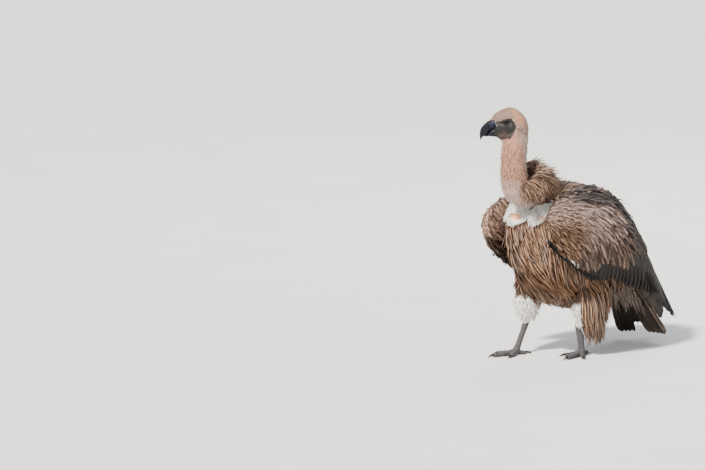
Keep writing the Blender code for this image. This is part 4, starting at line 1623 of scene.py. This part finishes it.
def grow_scapulars(bird, side, wing):
    """Large feathers over the join of wing and back."""
    coat = Coat("scapulars_" + side, "vane")

    def shown(points, normals):
        x, y, z = points.T
        above = (z > 0.448) * (y > -0.150) * (y < -0.01) * ramp(normals[:, 2], -0.1, 0.3)
        return above * (x * SIDES[side] > 0)

    for surface, spacing, seed, area in (
        (wing, 0.0135, 132, None), (bird.surface, 0.0125, 134, bird.on("trunk")),
    ):
        roots = surface.scatter(spacing, shown, seed, area)
        size = mix(0.044, 0.060, ramp(roots[:, 1], -0.170, -0.060))
        grow(bird, coat, surface, roots, wing_flow, size, 0.0085, 9, 0.0125, lance, scapular_tones,
             (0.6, 0.6, 0.0), seed + 1, roll=0.22, spread=0.005, sunk=0.002)

    def ridge(points, normals):
        x, y, _ = points.T
        return near_crest(points) * (y > -0.140) * (y < 0.100) * (x * SIDES[side] > 0.015)

    roots = wing.scatter(0.0150, ridge, 136)
    grow(bird, coat, wing, roots, wing_flow, 0.066, 0.0070, 9, 0.0190, lance, ridge_tones,
         (0.3, 0.5, 0.3), 137, roll=0.30, spread=0.008, sunk=0.002, free=0.6)
    return [(coat, "wing")]


def outer_place(surface, sign, y, z):
    """The place on the wing's outer face at y and z, or the nearest one to it."""
    hit = surface.tree.ray_cast(Vector((0.4 * sign, y, z)), Vector((-sign, 0, 0)))[0]
    return hit if hit is not None else surface.tree.find_nearest(Vector((0.12 * sign, y, z)))[0]


def quill_lines(surface, side, roots, tips, rows, bow):
    """Smooth, bowed lines over the wing's outer face from roots to tips, both in y and z."""
    t = np.linspace(0, 1, rows)
    lines = np.empty((len(roots), rows, 3))
    for line, root, tip in zip(lines, roots, tips):
        across = np.array([root[1] - tip[1], tip[0] - root[0]])
        flat = root + np.outer(t, tip - root) + np.outer(4 * t * (1 - t) * bow, across)
        out = np.array([outer_place(surface, SIDES[side], y, z)[0] for y, z in flat])
        line[:, 0] = np.polyval(np.polyfit(t, out, 3), t)
        line[:, 1:] = flat
    normals = surface.nearest(lines)[1]
    return lines, unit(mix(normals, normals.mean(1, keepdims=True), 0.8))


# Root and tip of the first and last feather of each row of quills, in y and z, then count and width.
QUILLS = {
    # rim: near-black vanes along the left wing's lower front edge, a painted shadow under the wing.
    "rim": ((-0.240, 0.410), (-0.075, 0.290), (-0.250, 0.360), (-0.060, 0.240), 24, 0.0080),
    "inner": ((0.085, 0.270), (0.130, 0.300), (0.180, 0.150), (0.272, 0.074), 7, 0.0140),
    "primaries": ((0.085, 0.290), (0.150, 0.345), (0.215, 0.155), (0.343, 0.060), 10, 0.0125),
    "secondaries": ((-0.150, 0.345), (0.120, 0.345), (-0.105, 0.270), (0.226, 0.160), 20, 0.0150),
    "tertials": ((0.070, 0.430), (0.000, 0.485), (0.262, 0.215), (0.180, 0.350), 8, 0.0185),
}
QUILL_ROWS = 30
QUILL_TONES = {  # each row's dark and edge colours
    # rim's near-black stands for painted shadow.
    "rim": ("0d0b0a", "1b1614"), "inner": ("2c2521", "574a43"), "primaries": ("0f0d0c", "241e1b"),
    "secondaries": ("1d1816", "3c332e"), "tertials": ("1a1513", "2e2723"),
}


def grow_flecks(bird, side, wing):
    """A few white tufts that show below the front coverts."""
    coat = Coat("rim_down_" + side, "tuft")
    rng = np.random.default_rng(181)
    spans = ((-0.190, -0.168), (-0.160, -0.138)) if side == "left" else ((-0.240, -0.160),)
    y = np.concatenate([rng.uniform(*span, 14) for span in spans])
    z = low_edge(side, y) + rng.uniform(-0.004, 0.003, len(y))
    roots = np.stack([np.full(len(y), 0.16 * SIDES[side]), y, z], -1)
    grow(bird, coat, wing, wing.nearest(roots)[0], wing_flow, 0.011, 0.0016, 4, 0.0080, sliver,
         fluff_tones, PLAIN, 182, roll=0.6, spread=0.003)
    return [(coat, "wing")]


def grow_quills(bird, side, wing):
    """Primaries, secondaries and tertials, each a broad vane on a shaft, the later ones on top, and on the
    left wing a rim of near-black vanes along its lower front edge as painted shadow.
    """
    pieces = []
    for order, (name, (root_a, root_b, tip_a, tip_b, count, width)) in enumerate(QUILLS.items()):
        if name == "rim" and side == "right":
            continue
        coat = Coat(f"{name}_{side}", "quill")
        share = np.linspace(0, 1, count)[:, None]
        roots = mix(np.array(root_a), np.array(root_b), share)
        tips = mix(np.array(tip_a), np.array(tip_b), share)
        if name in ("secondaries", "rim"):
            tips[:, 1] = low_edge(side, tips[:, 0]) + (0.004 if name == "secondaries" else -0.010)
        lines, normals = quill_lines(wing, side, roots, tips, QUILL_ROWS, 0.05)
        if name == "primaries":
            normals = unit(mix(normals, normals.mean((0, 1)), 0.85))
        rank = np.linspace(1, 0, count) if name == "secondaries" else np.linspace(0, 1, count)
        along = np.linspace(0, 1, QUILL_ROWS)
        lift = -0.0048 + 0.0016 * order + 0.0034 * rank[:, None] * along
        lift = lift - 0.0030 * (1 - ramp(along, 0.10, 0.45))
        lines = lines + normals * lift[..., None]
        dark, edge = (srgb(code) for code in QUILL_TONES[name])
        rng = np.random.default_rng(141 + order)
        shade = 1 + 0.10 * rng.normal(size=(count, 1))
        widths = width * rng.uniform(0.95, 1.05, count)
        shape = pointed if name == "primaries" else broad
        marks = np.tile((0.10, 0.35, 0.4), (count, 1))
        uv = bird.unwrap.at(lines[:, 0])
        coat.add(lines, normals, widths, shape, dark * shade, edge * shade, marks, uv, 151 + order,
                 roll=0.03, worn=0.02)
        pieces.append((coat, "wing"))
    return pieces


# ---------------------------------------------------------------- the coat: tail
TAIL_LINE = [  # along the tail from its root: y, z, half-width
    (0.137, 0.262, 0.024), (0.167, 0.210, 0.036), (0.202, 0.148, 0.047), (0.240, 0.086, 0.055),
    (0.270, 0.040, 0.060), (0.281, 0.023, 0.058),
]
TAIL_FEATHERS = 12
TAIL_ROWS = 34
TAIL_NOTCH = (-0.30, 0.12)  # where the fan's feathers are worn short, on a scale of -1 to 1
# Brightness of each tail feather from the bird's right to its left: the fan's own dark feathers, with
# painted shadow making the bird's right half darker still.
TAIL_TONE_AND_SHADE = (0.50, 0.42, 0.35, 0.42, 0.48, 0.55, 0.65, 1.0, 0.85, 1.05, 0.92, 1.0)


def tail_turned(points):
    """The tail swings a little to the left, more towards its tips."""
    share = np.clip((0.262 - points[..., 2]) / 0.24, 0, 1)
    return points - (0.36 * np.maximum(0.060 - points[..., 0], 0) * share)[..., None] * Y


def tail_root(points):
    """The bed of the tail ends where its long feathers are open to view."""
    up = np.maximum(0.182 - points[:, 2], 0) * 0.97
    return points + up[:, None] * Z - 0.65 * up[:, None] * Y


def grow_tail(bird):
    """Twelve feathers in a fan. The ones between the notch's sides are worn shorter."""
    coat = Coat("tail_feathers", "quill")
    spots = np.linspace(-1, 1, TAIL_FEATHERS)
    path = spline(TAIL_LINE, 60)
    ways = np.concatenate([[0], np.cumsum(np.linalg.norm(np.diff(path[:, :2], axis=0), axis=1))])
    lines = np.empty((TAIL_FEATHERS, TAIL_ROWS, 3))
    normals = np.empty_like(lines)
    for i, e in enumerate(spots):
        worn = 0.034 if TAIL_NOTCH[0] < e < TAIL_NOTCH[1] else 0.008 * max(e, 0) ** 3
        at = np.linspace(0, ways[-1] - worn, TAIL_ROWS)
        y, z, half = (np.interp(at, ways, path[:, k]) for k in range(3))
        lines[i] = np.stack([e * half * (1.35 if e > 0 else 1.0), y, z], -1)
        ahead = unit(np.gradient(lines[i], axis=0))
        out = unit(np.cross(X, ahead))
        out *= np.sign(out[:, 1:2])
        tilt = 0.40 * abs(e)
        normals[i] = unit(out * math.cos(tilt) + X * -math.sin(tilt))
        lines[i] += out * (0.0042 * (1 - abs(e)) - 0.0048 * e * e)
    lines = tail_turned(lines)
    shade = np.array(TAIL_TONE_AND_SHADE)[:, None]
    # Dark tips, strongest on the right half and the middle: the feathers' dark ends, deepened as painted
    # shadow.
    dusk = np.where(spots > 0.1, 0.35, 1.1)
    marks = np.stack([np.full(TAIL_FEATHERS, 0.55), np.full(TAIL_FEATHERS, 0.8), dusk], -1)
    widths = np.full(TAIL_FEATHERS, 0.0140)
    uv = bird.unwrap.at(lines[:, 0])
    dark, pale = (tone * shade for tone in TAIL_FAN)
    coat.add(lines, normals, widths, broad, dark, pale, marks, uv, 162, roll=0.10, worn=0.03)
    return [(coat, "tail")]


def tail_flow(points, normals):
    """Down and back, and outwards with the fan."""
    y = points[:, 1]
    way = np.stack([0.9 * points[:, 0], 0.45 + 0 * y, -0.85 + 0 * y], -1)
    return way + np.cross(normals, way) * 0.12 * noise(points, 0.03, 171)[:, None]


def tail_tones(points):
    """The tail's coverts, darker towards its tip."""
    return layered(TAIL_LOW, [(ramp(points[:, 2], 0.06, 0.22), UNDER_TAIL)])


def grow_tail_coverts(bird, tail):
    """Coverts over both sides of the tail's root, and the long ones below the vent."""
    coat = Coat("tail_coverts", "vane")

    def shown(points, normals):
        return points[:, 2] > 0.150 + 0.02 * noise(points, 0.02, 172)

    roots = tail.scatter(0.0095, shown, 173)
    grow(bird, coat, tail, roots, tail_flow, 0.066, 0.0076, 9, 0.0065, lance, tail_tones,
         (0.8, 0.4, 0.1), 174, roll=0.20, spread=0.0050)

    def vent(points, normals):
        x, y, z = points.T
        return (y > 0.040) * (z < 0.235) * (np.abs(x) < 0.070)

    roots = bird.surface.scatter(0.0110, vent, 175, bird.on("trunk"))
    grow(bird, coat, bird.surface, roots, tail_flow, 0.090, 0.0085, 9, 0.0160, lance, tail_tones,
         (0.8, 0.4, 0.1), 176, roll=0.20, spread=0.0060, sunk=0.002, curl=1.3)
    return [(coat, "tail")]


# ---------------------------------------------------------------- materials
BARB_GAP = 0.0011  # from one barb of a vane to the next


class Nodes:
    """A short way to write a material's nodes. Each method adds one and gives its output."""

    def __init__(self, name):
        self.material = bpy.data.materials.new(name)
        self.material.use_nodes = True
        self.tree = self.material.node_tree
        self.shader = self.tree.nodes["Principled BSDF"]
        self.place = self.add("TexCoord")["Object"]

    def set(self, socket, value):
        """Links a node's output to the socket, or sets it to a fixed value. None leaves it alone."""
        if isinstance(value, bpy.types.NodeSocket):
            self.tree.links.new(value, socket)
        elif value is not None:
            socket.default_value = value

    def add(self, kind, inputs=None, **settings):
        """A new node's outputs."""
        node = self.tree.nodes.new("ShaderNode" + kind)
        for key, value in settings.items():
            setattr(node, key, value)
        for key, value in (inputs or {}).items():
            self.set(node.inputs[key], value)
        return node.outputs

    def attribute(self, name, output="Vector"):
        return self.add("Attribute", attribute_name=name)[output]

    def maths(self, operation, a, b=0.0):
        return self.add("Math", {0: a, 1: b}, operation=operation)[0]

    def plus(self, a, b):
        return self.maths("ADD", a, b)

    def times(self, first, *others):
        for other in others:
            first = self.maths("MULTIPLY", first, other)
        return first

    def remap(self, value, low, high, to_low, to_high):
        ends = {"From Min": low, "From Max": high, "To Min": to_low, "To Max": to_high}
        return self.add("MapRange", {"Value": value, **ends})["Result"]

    def spread(self, noise, low, high):
        """From low to high over the range that a noise mostly keeps to."""
        return self.remap(noise, 0.3, 0.7, low, high)

    def tinted(self, colour, factor):
        """colour times a changing factor."""
        return self.add("VectorMath", {0: colour, "Scale": factor}, operation="SCALE")[0]

    def blend(self, factor, a, b):
        return self.add("Mix", {"Factor": factor, "A": a, "B": b}, data_type="RGBA")["Result"]

    def tint_to_pale(self, share):
        """From a feather's dark colour at 0 to its pale one at 1."""
        return self.blend(share, self.attribute("tint", "Color"), self.attribute("pale", "Color"))

    def split(self, vector):
        return self.add("SeparateXYZ", {0: vector})

    def noise(self, scale, detail):
        return self.add("TexNoise", {"Vector": self.place, "Scale": scale, "Detail": detail})["Fac"]

    def cell_edges(self, scale):
        """How far a place is from the borders of a pattern of cells."""
        cells = self.add("TexVoronoi", {"Vector": self.place, "Scale": scale}, feature="DISTANCE_TO_EDGE")
        return cells["Distance"]

    def bump(self, height, strength, distance, normal=None):
        inputs = {"Strength": strength, "Distance": distance, "Height": height, "Normal": normal}
        return self.add("Bump", inputs)[0]

    def finish(self, colour, roughness, normal=None, **fixed):
        """The material. fixed are numbers that are the same all over it."""
        looks = {"Base Color": colour, "Roughness": roughness, "Normal": normal}
        looks.update({key.replace("_", " "): value for key, value in fixed.items()})
        for key, value in looks.items():
            self.set(self.shader.inputs[key], value)
        return self.material


def skin_material():
    """Wrinkled skin with pores, and scales where the first number of kind is 1."""
    n = Nodes("skin")
    scaly = n.split(n.attribute("kind"))[0]
    pores, wrinkles = n.noise(900, 4), n.noise(260, 5)
    scale_height = n.maths("MINIMUM", n.times(n.cell_edges(330), 9.0), 1.0)
    scale_shade = n.times(scaly, n.remap(scale_height, 0, 1, -0.35, 0.05))
    colour = n.tinted(n.attribute("tint", "Color"), n.plus(n.spread(wrinkles, 0.86, 1.10), scale_shade))
    soft = n.bump(n.plus(n.times(pores, 0.4), wrinkles), 0.55, 0.0006)
    hard = n.bump(n.times(scale_height, scaly), 0.8, 0.0005, soft)
    return n.finish(colour, n.spread(wrinkles, 0.52, 0.72), hard, Specular_IOR_Level=0.22)


def horn_material(name, base, cloudy, roughness, coat):
    """Horn of the base colour, with faint clouds of another."""
    n = Nodes(name)
    cloud, fine = n.noise(120, 4), n.noise(1500, 3)
    colour = n.blend(n.remap(cloud, 0.45, 0.75, 0.0, 0.5), (*base, 1), (*cloudy, 1))
    colour = n.tinted(colour, n.spread(cloud, 0.75, 1.25))
    normal = n.bump(n.plus(cloud, n.times(fine, 0.3)), 0.35, 0.0005)
    rough = n.spread(fine, roughness - 0.06, roughness + 0.10)
    return n.finish(colour, rough, normal, Coat_Weight=coat, Coat_Roughness=0.25, Specular_IOR_Level=0.18)


def eye_material():
    """A pupil, a dark iris with fibres, and black round it."""
    n = Nodes("eye")
    ring = n.split(n.attribute("kind"))[0]
    fibres = n.noise(2200, 3)
    colour = n.tinted(IRIS_BROWN, n.spread(fibres, 0.6, 1.5))
    past_pupil = n.remap(ring, PUPIL_RADIUS * 0.93, PUPIL_RADIUS * 1.05, 0.0, 1.0)
    past_iris = n.remap(ring, IRIS_RADIUS * 0.93, IRIS_RADIUS * 1.05, 0.0, 1.0)
    colour = n.blend(past_iris, n.blend(past_pupil, PUPIL_BLACK, colour), EYE_EDGE)
    return n.finish(colour, n.spread(fibres, 0.07, 0.10), Specular_IOR_Level=0.16)


def vane_material():
    """Pale streaks and edges, barbs that run out from the shaft, and a shade of its own per vane."""
    n = Nodes("feather")
    across, along, seed = n.split(n.attribute("lie"))
    wide, far, _ = n.split(n.attribute("span"))
    streak_mark, edge_mark, tip_mark = n.split(n.attribute("marks"))
    cloud = n.noise(420, 3)
    side = n.plus(n.maths("ABSOLUTE", across), n.spread(cloud, -0.12, 0.12))
    streak = n.remap(side, 0.12, 0.46, 1.0, 0.0)
    streak = n.times(streak, streak_mark, n.remap(along, 0.02, 0.25, 0.0, 1.0))
    rim = n.maths("MAXIMUM", side, n.remap(along, 0.55, 1.0, 0.0, 1.0))
    rim = n.times(n.remap(rim, 0.66, 0.98, 0.0, 1.0), edge_mark)
    colour = n.tint_to_pale(n.maths("MINIMUM", n.plus(streak, rim), 1.0))
    slant = n.maths("SUBTRACT", far, n.times(n.maths("ABSOLUTE", wide), 0.8))
    barbs = n.maths("SINE", n.times(n.plus(slant, n.times(cloud, 0.002)), 2 * math.pi / BARB_GAP))
    shade = n.times(n.remap(seed, 0.0, 1.0, 0.84, 1.14), n.remap(along, 0.0, 0.4, 0.62, 1.0))
    shade = n.times(shade, n.remap(barbs, -1.0, 1.0, 0.93, 1.05))
    dusk = n.times(tip_mark, n.remap(along, 0.35, 0.95, 0.0, 0.75))
    shade = n.times(shade, n.maths("SUBTRACT", 1.0, dusk))
    shaft = n.remap(n.maths("ABSOLUTE", across), 0.0, 0.12, 1.0, 0.0)
    normal = n.bump(n.plus(n.times(barbs, 0.35), shaft), 0.30, 0.0004)
    return n.finish(n.tinted(colour, shade), n.spread(cloud, 0.55, 0.75), normal, Specular_IOR_Level=0.18)


def down_material():
    """Tufts that pale towards their tips."""
    n = Nodes("down")
    _, along, seed = n.split(n.attribute("lie"))
    fluff = n.noise(900, 3)
    shade = n.times(n.remap(seed, 0.0, 1.0, 0.86, 1.12), n.remap(along, 0.0, 0.5, 0.80, 1.0))
    shade = n.times(shade, n.spread(fluff, 0.92, 1.06))
    colour = n.tinted(n.tint_to_pale(n.remap(along, 0.3, 0.9, 0.0, 1.0)), shade)
    normal = n.bump(fluff, 0.3, 0.0004)
    return n.finish(colour, n.spread(fluff, 0.75, 0.90), normal, Specular_IOR_Level=0.20)


# ---------------------------------------------------------------- camera, floor and light
VIEW_TURN = math.radians(48)
VIEW_RISE = math.radians(10)
VIEW_DISTANCE = 28.8
VIEW_ASIDE = -0.61618  # the picture's middle lies this far to the right of the bird
VIEW_ABOVE = 0.35
VIEW_BASE = np.array([0.0, -0.0680, 0.0])
FLOOR_REACH = 60
LIT_PLACE = np.array([0.0, 0.0, 0.4])  # what the lamps point at


def make_camera():
    """The camera of the photo's view. It gives the ways back and right in its picture."""
    turned = np.array([math.sin(VIEW_TURN), -math.cos(VIEW_TURN), 0.0])
    back = turned * math.cos(VIEW_RISE) + Z * math.sin(VIEW_RISE)
    right = np.array([math.cos(VIEW_TURN), math.sin(VIEW_TURN), 0.0])
    up = np.cross(back, right)
    data = bpy.data.cameras.new("camera")
    data.lens = 500
    data.sensor_width = 36
    data.clip_start = 0.5
    data.clip_end = 200
    camera = new_object("camera", data)
    camera.matrix_world = Matrix(np.stack([right, up, back], -1).tolist()).to_4x4()
    camera.location = Vector(VIEW_BASE + back * VIEW_DISTANCE + right * VIEW_ASIDE + up * VIEW_ABOVE)
    bpy.context.scene.camera = camera
    return back, right


def add_light(name, kind, way, energy, colour, **settings):
    """A light that shines along way."""
    data = bpy.data.lights.new(name, kind)
    data.energy = energy
    data.color = colour
    for key, value in settings.items():
        setattr(data, key, value)
    light = new_object(name, data)
    light.rotation_mode = "QUATERNION"
    light.rotation_quaternion = Vector(way).to_track_quat("-Z", "Y")
    return light


def add_lamp(name, place, aim, size, energy, colour):
    """A round, soft lamp at a place."""
    lamp = add_light(name, "AREA", aim - place, energy, colour, shape="DISK", size=size)
    lamp.location = Vector(place)


def make_stage():
    """The camera, soft studio light and a pale floor."""
    back, right = make_camera()
    sun_from = -0.9 * right + 1.5 * Z + 1.3 * back
    fill_from = LIT_PLACE + (1.6 * right + 0.6 * Z + 1.2 * back) * 1.7
    rim_from = LIT_PLACE + (0.4 * right + 1.4 * Z - 1.6 * back) * 1.7
    glint_from = LIT_PLACE + 2.0 * back + 0.85 * Z - 0.25 * right
    eye_at = from_head((EYE_AHEAD, EYE_OFFSET, EYE_ABOVE))
    add_light("key", "SUN", -sun_from, 11.5, (1.0, 0.955, 0.89), angle=math.radians(6))
    add_lamp("fill", fill_from, LIT_PLACE, 3.0, 40, (0.88, 0.94, 1.0))
    add_lamp("glint", glint_from, eye_at, 0.14, 7, (1.0, 1.0, 1.0))
    add_lamp("rim", rim_from, LIT_PLACE, 2.0, 60, (1.0, 1.0, 1.0))
    world = bpy.data.worlds.new("studio")
    bpy.context.scene.world = world
    world.use_nodes = True
    background = world.node_tree.nodes["Background"]
    background.inputs["Color"].default_value = (0.86, 0.90, 0.96, 1)
    background.inputs["Strength"].default_value = 0.95
    corners = [(x * FLOOR_REACH, y * FLOOR_REACH, 0) for x, y in ((-1, -1), (1, -1), (1, 1), (-1, 1))]
    floor = new_object("floor", mesh_of("floor", corners, [(0, 1, 2, 3)]))
    n = Nodes("floor")
    colour = n.tinted((0.56, 0.56, 0.545), n.spread(n.noise(3.0, 4), 0.97, 1.03))
    floor.data.materials.append(n.finish(colour, 0.85))


# ---------------------------------------------------------------- putting it together
def place_piece(obj, material, slot, *nodes):
    """Gives a piece its material, and hides the solids that it stands for. slot is not used."""
    obj.data.materials.clear()
    obj.data.materials.append(material)
    obj.data.shade_smooth()
    if nodes:
        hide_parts(*nodes)
    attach(obj, "root")


# How deep below the solids the feathers' guide surfaces lie.
def wing_depth(points):
    return mix(0.0052, 0.0012, ramp(points[:, 1], 0.02, 0.20))


def tail_depth(points):
    return np.full(len(points), 0.0030)


def leg_depth(points):
    return mix(0.0100, 0.0070, ramp(points[:, 2], 0.10, 0.16))


def leg_tones(points):
    """The bed of a leg's feathers: white where its down is."""
    dark, pale = body_tones(points)
    white = white_thigh(points)[:, None]
    return mix(dark, 1.5 * WHITE_DOWN, white), pale


BED_SINK = 0.0016  # below the feathers' surface, in front
MOST_BED_SINK = 0.0075


def sunk_bed(obj, points, normals):
    """How far a bed sinks below the surface that its feathers follow: less where it is thin."""
    tree = Surface(obj).tree
    depth = np.full(len(points), BED_SINK)
    for i in np.flatnonzero(points[:, 1] > 0.020):
        start = points[i] - 0.0004 * normals[i]
        hit = tree.ray_cast(Vector(start), Vector(-normals[i]))
        if hit[0] is not None:
            rear = min((points[i, 1] - 0.020) / 0.060, 1.0)
            depth[i] = mix(BED_SINK, min(MOST_BED_SINK, 0.44 * hit[3]), rear)
    return depth


def lay_under(bird, obj, tones, slot):
    """Keeps a guide as the closed bed that its feathers lie on, painted darker than them as the shade in the
    gaps between them.
    """
    points = points_of(obj.data)
    move_points(obj.data, lambda places, normals: places - sunk_bed(obj, places, normals)[:, None] * normals)
    layer = obj.data.uv_layers.new(name="OFBake")
    corners = read(obj.data.loops, "vertex_index", 1, np.int32)
    layer.data.foreach_set("uv", bird.unwrap.at(points)[corners].astype(np.float32).ravel())
    # Darker than the feathers: painted shade seen between them.
    put_colour(obj.data, "tint", 0.55 * tones(points)[0])
    put_vector(obj.data, "kind", 0 * points)
    place_piece(obj, bpy.data.materials["skin"], slot)


# The solids that some pieces of the coat stand for.
STANDS_FOR = {
    "ruff_lances": ["ruff_left", "ruff_right"], "tail_feathers": ["tail"],
    "primaries_left": ["wing_left_primaries"], "primaries_right": ["wing_right_primaries"],
    "secondaries_left": ["wing_left_secondaries"], "secondaries_right": ["wing_right_secondaries"],
}


def make_coat(skin):
    """Every tract of feathers, and the beds under those of wings, legs and tail."""
    bird = Bird(skin)
    pieces = grow_down(bird) + grow_ruff(bird) + grow_body(bird) + grow_white(bird)
    for side in SIDES:
        under, leg = make_guide("under_leg_" + side, ["thigh_" + side], 0.0040, leg_depth)
        lay_under(bird, under, leg_tones, "thigh")
        pieces += grow_legs(bird, side, leg)
        nodes = [f"wing_{side}_{part}" for part in ("arm", "secondaries", "primaries")]
        under, wing = make_guide("under_wing_" + side, nodes, 0.0040, wing_depth)
        lay_under(bird, under, wing_tones, "wing")
        pieces += grow_coverts(bird, side, wing) + grow_scapulars(bird, side, wing)
        pieces += grow_quills(bird, side, wing) + grow_flecks(bird, side, wing)
    under, tail = make_guide("under_tail", ["tail"], 0.0035, tail_depth, tail_turned)
    move_points(under.data, lambda points, normals: tail_root(points))
    lay_under(bird, under, tail_tones, "tail")
    pieces += grow_tail(bird) + grow_tail_coverts(bird, tail)
    feather, down = vane_material(), down_material()
    for coat, slot in pieces:
        material = down if "down" in coat.name else feather
        place_piece(coat.make(), material, slot, *STANDS_FOR.get(coat.name, []))


def build():
    """Everything, from the stage to the feathers."""
    make_stage()
    skin = make_skin()
    paint_skin(skin.data)
    flesh = ["head", "neck_upper", "neck_lower", "trunk", "wing_left_arm", "wing_right_arm"]
    for side in SIDES:
        flesh += [f"thigh_{side}", f"tarsus_{side}"] + [f"toe_{side}_{toe}" for toe in TOE_NAMES]
    place_piece(skin, skin_material(), "trunk", *flesh)
    horn = horn_material("horn", HORN, HORN_CLOUD, 0.34, 0.05)
    cere = horn_material("cere", CERE, CERE_CLOUD, 0.42, 0.04)
    for piece, node in make_bill():
        is_cere = node == "cere"
        place_piece(piece, cere if is_cere else horn, "cere" if is_cere else "bill", node)
    eye = eye_material()
    for side in SIDES:
        ball = make_eye(side)
        f, _, u = to_head(points_of(ball.data)).T
        put_vector(ball.data, "kind", np.stack([np.hypot(f - EYE_AHEAD, u - EYE_ABOVE), f * 0, f * 0], -1))
        place_piece(ball, eye, "eye", "eye_" + side)
    claw = horn_material("claw", CLAW, CLAW_CLOUD, 0.35, 0.3)
    for side, toe in itertools.product(SIDES, TOE_NAMES):
        place_piece(make_claw(side, toe), claw, "claw", f"claw_{side}_{toe}")
    make_coat(skin)


def main():
    """Builds it all."""
    build()


main()
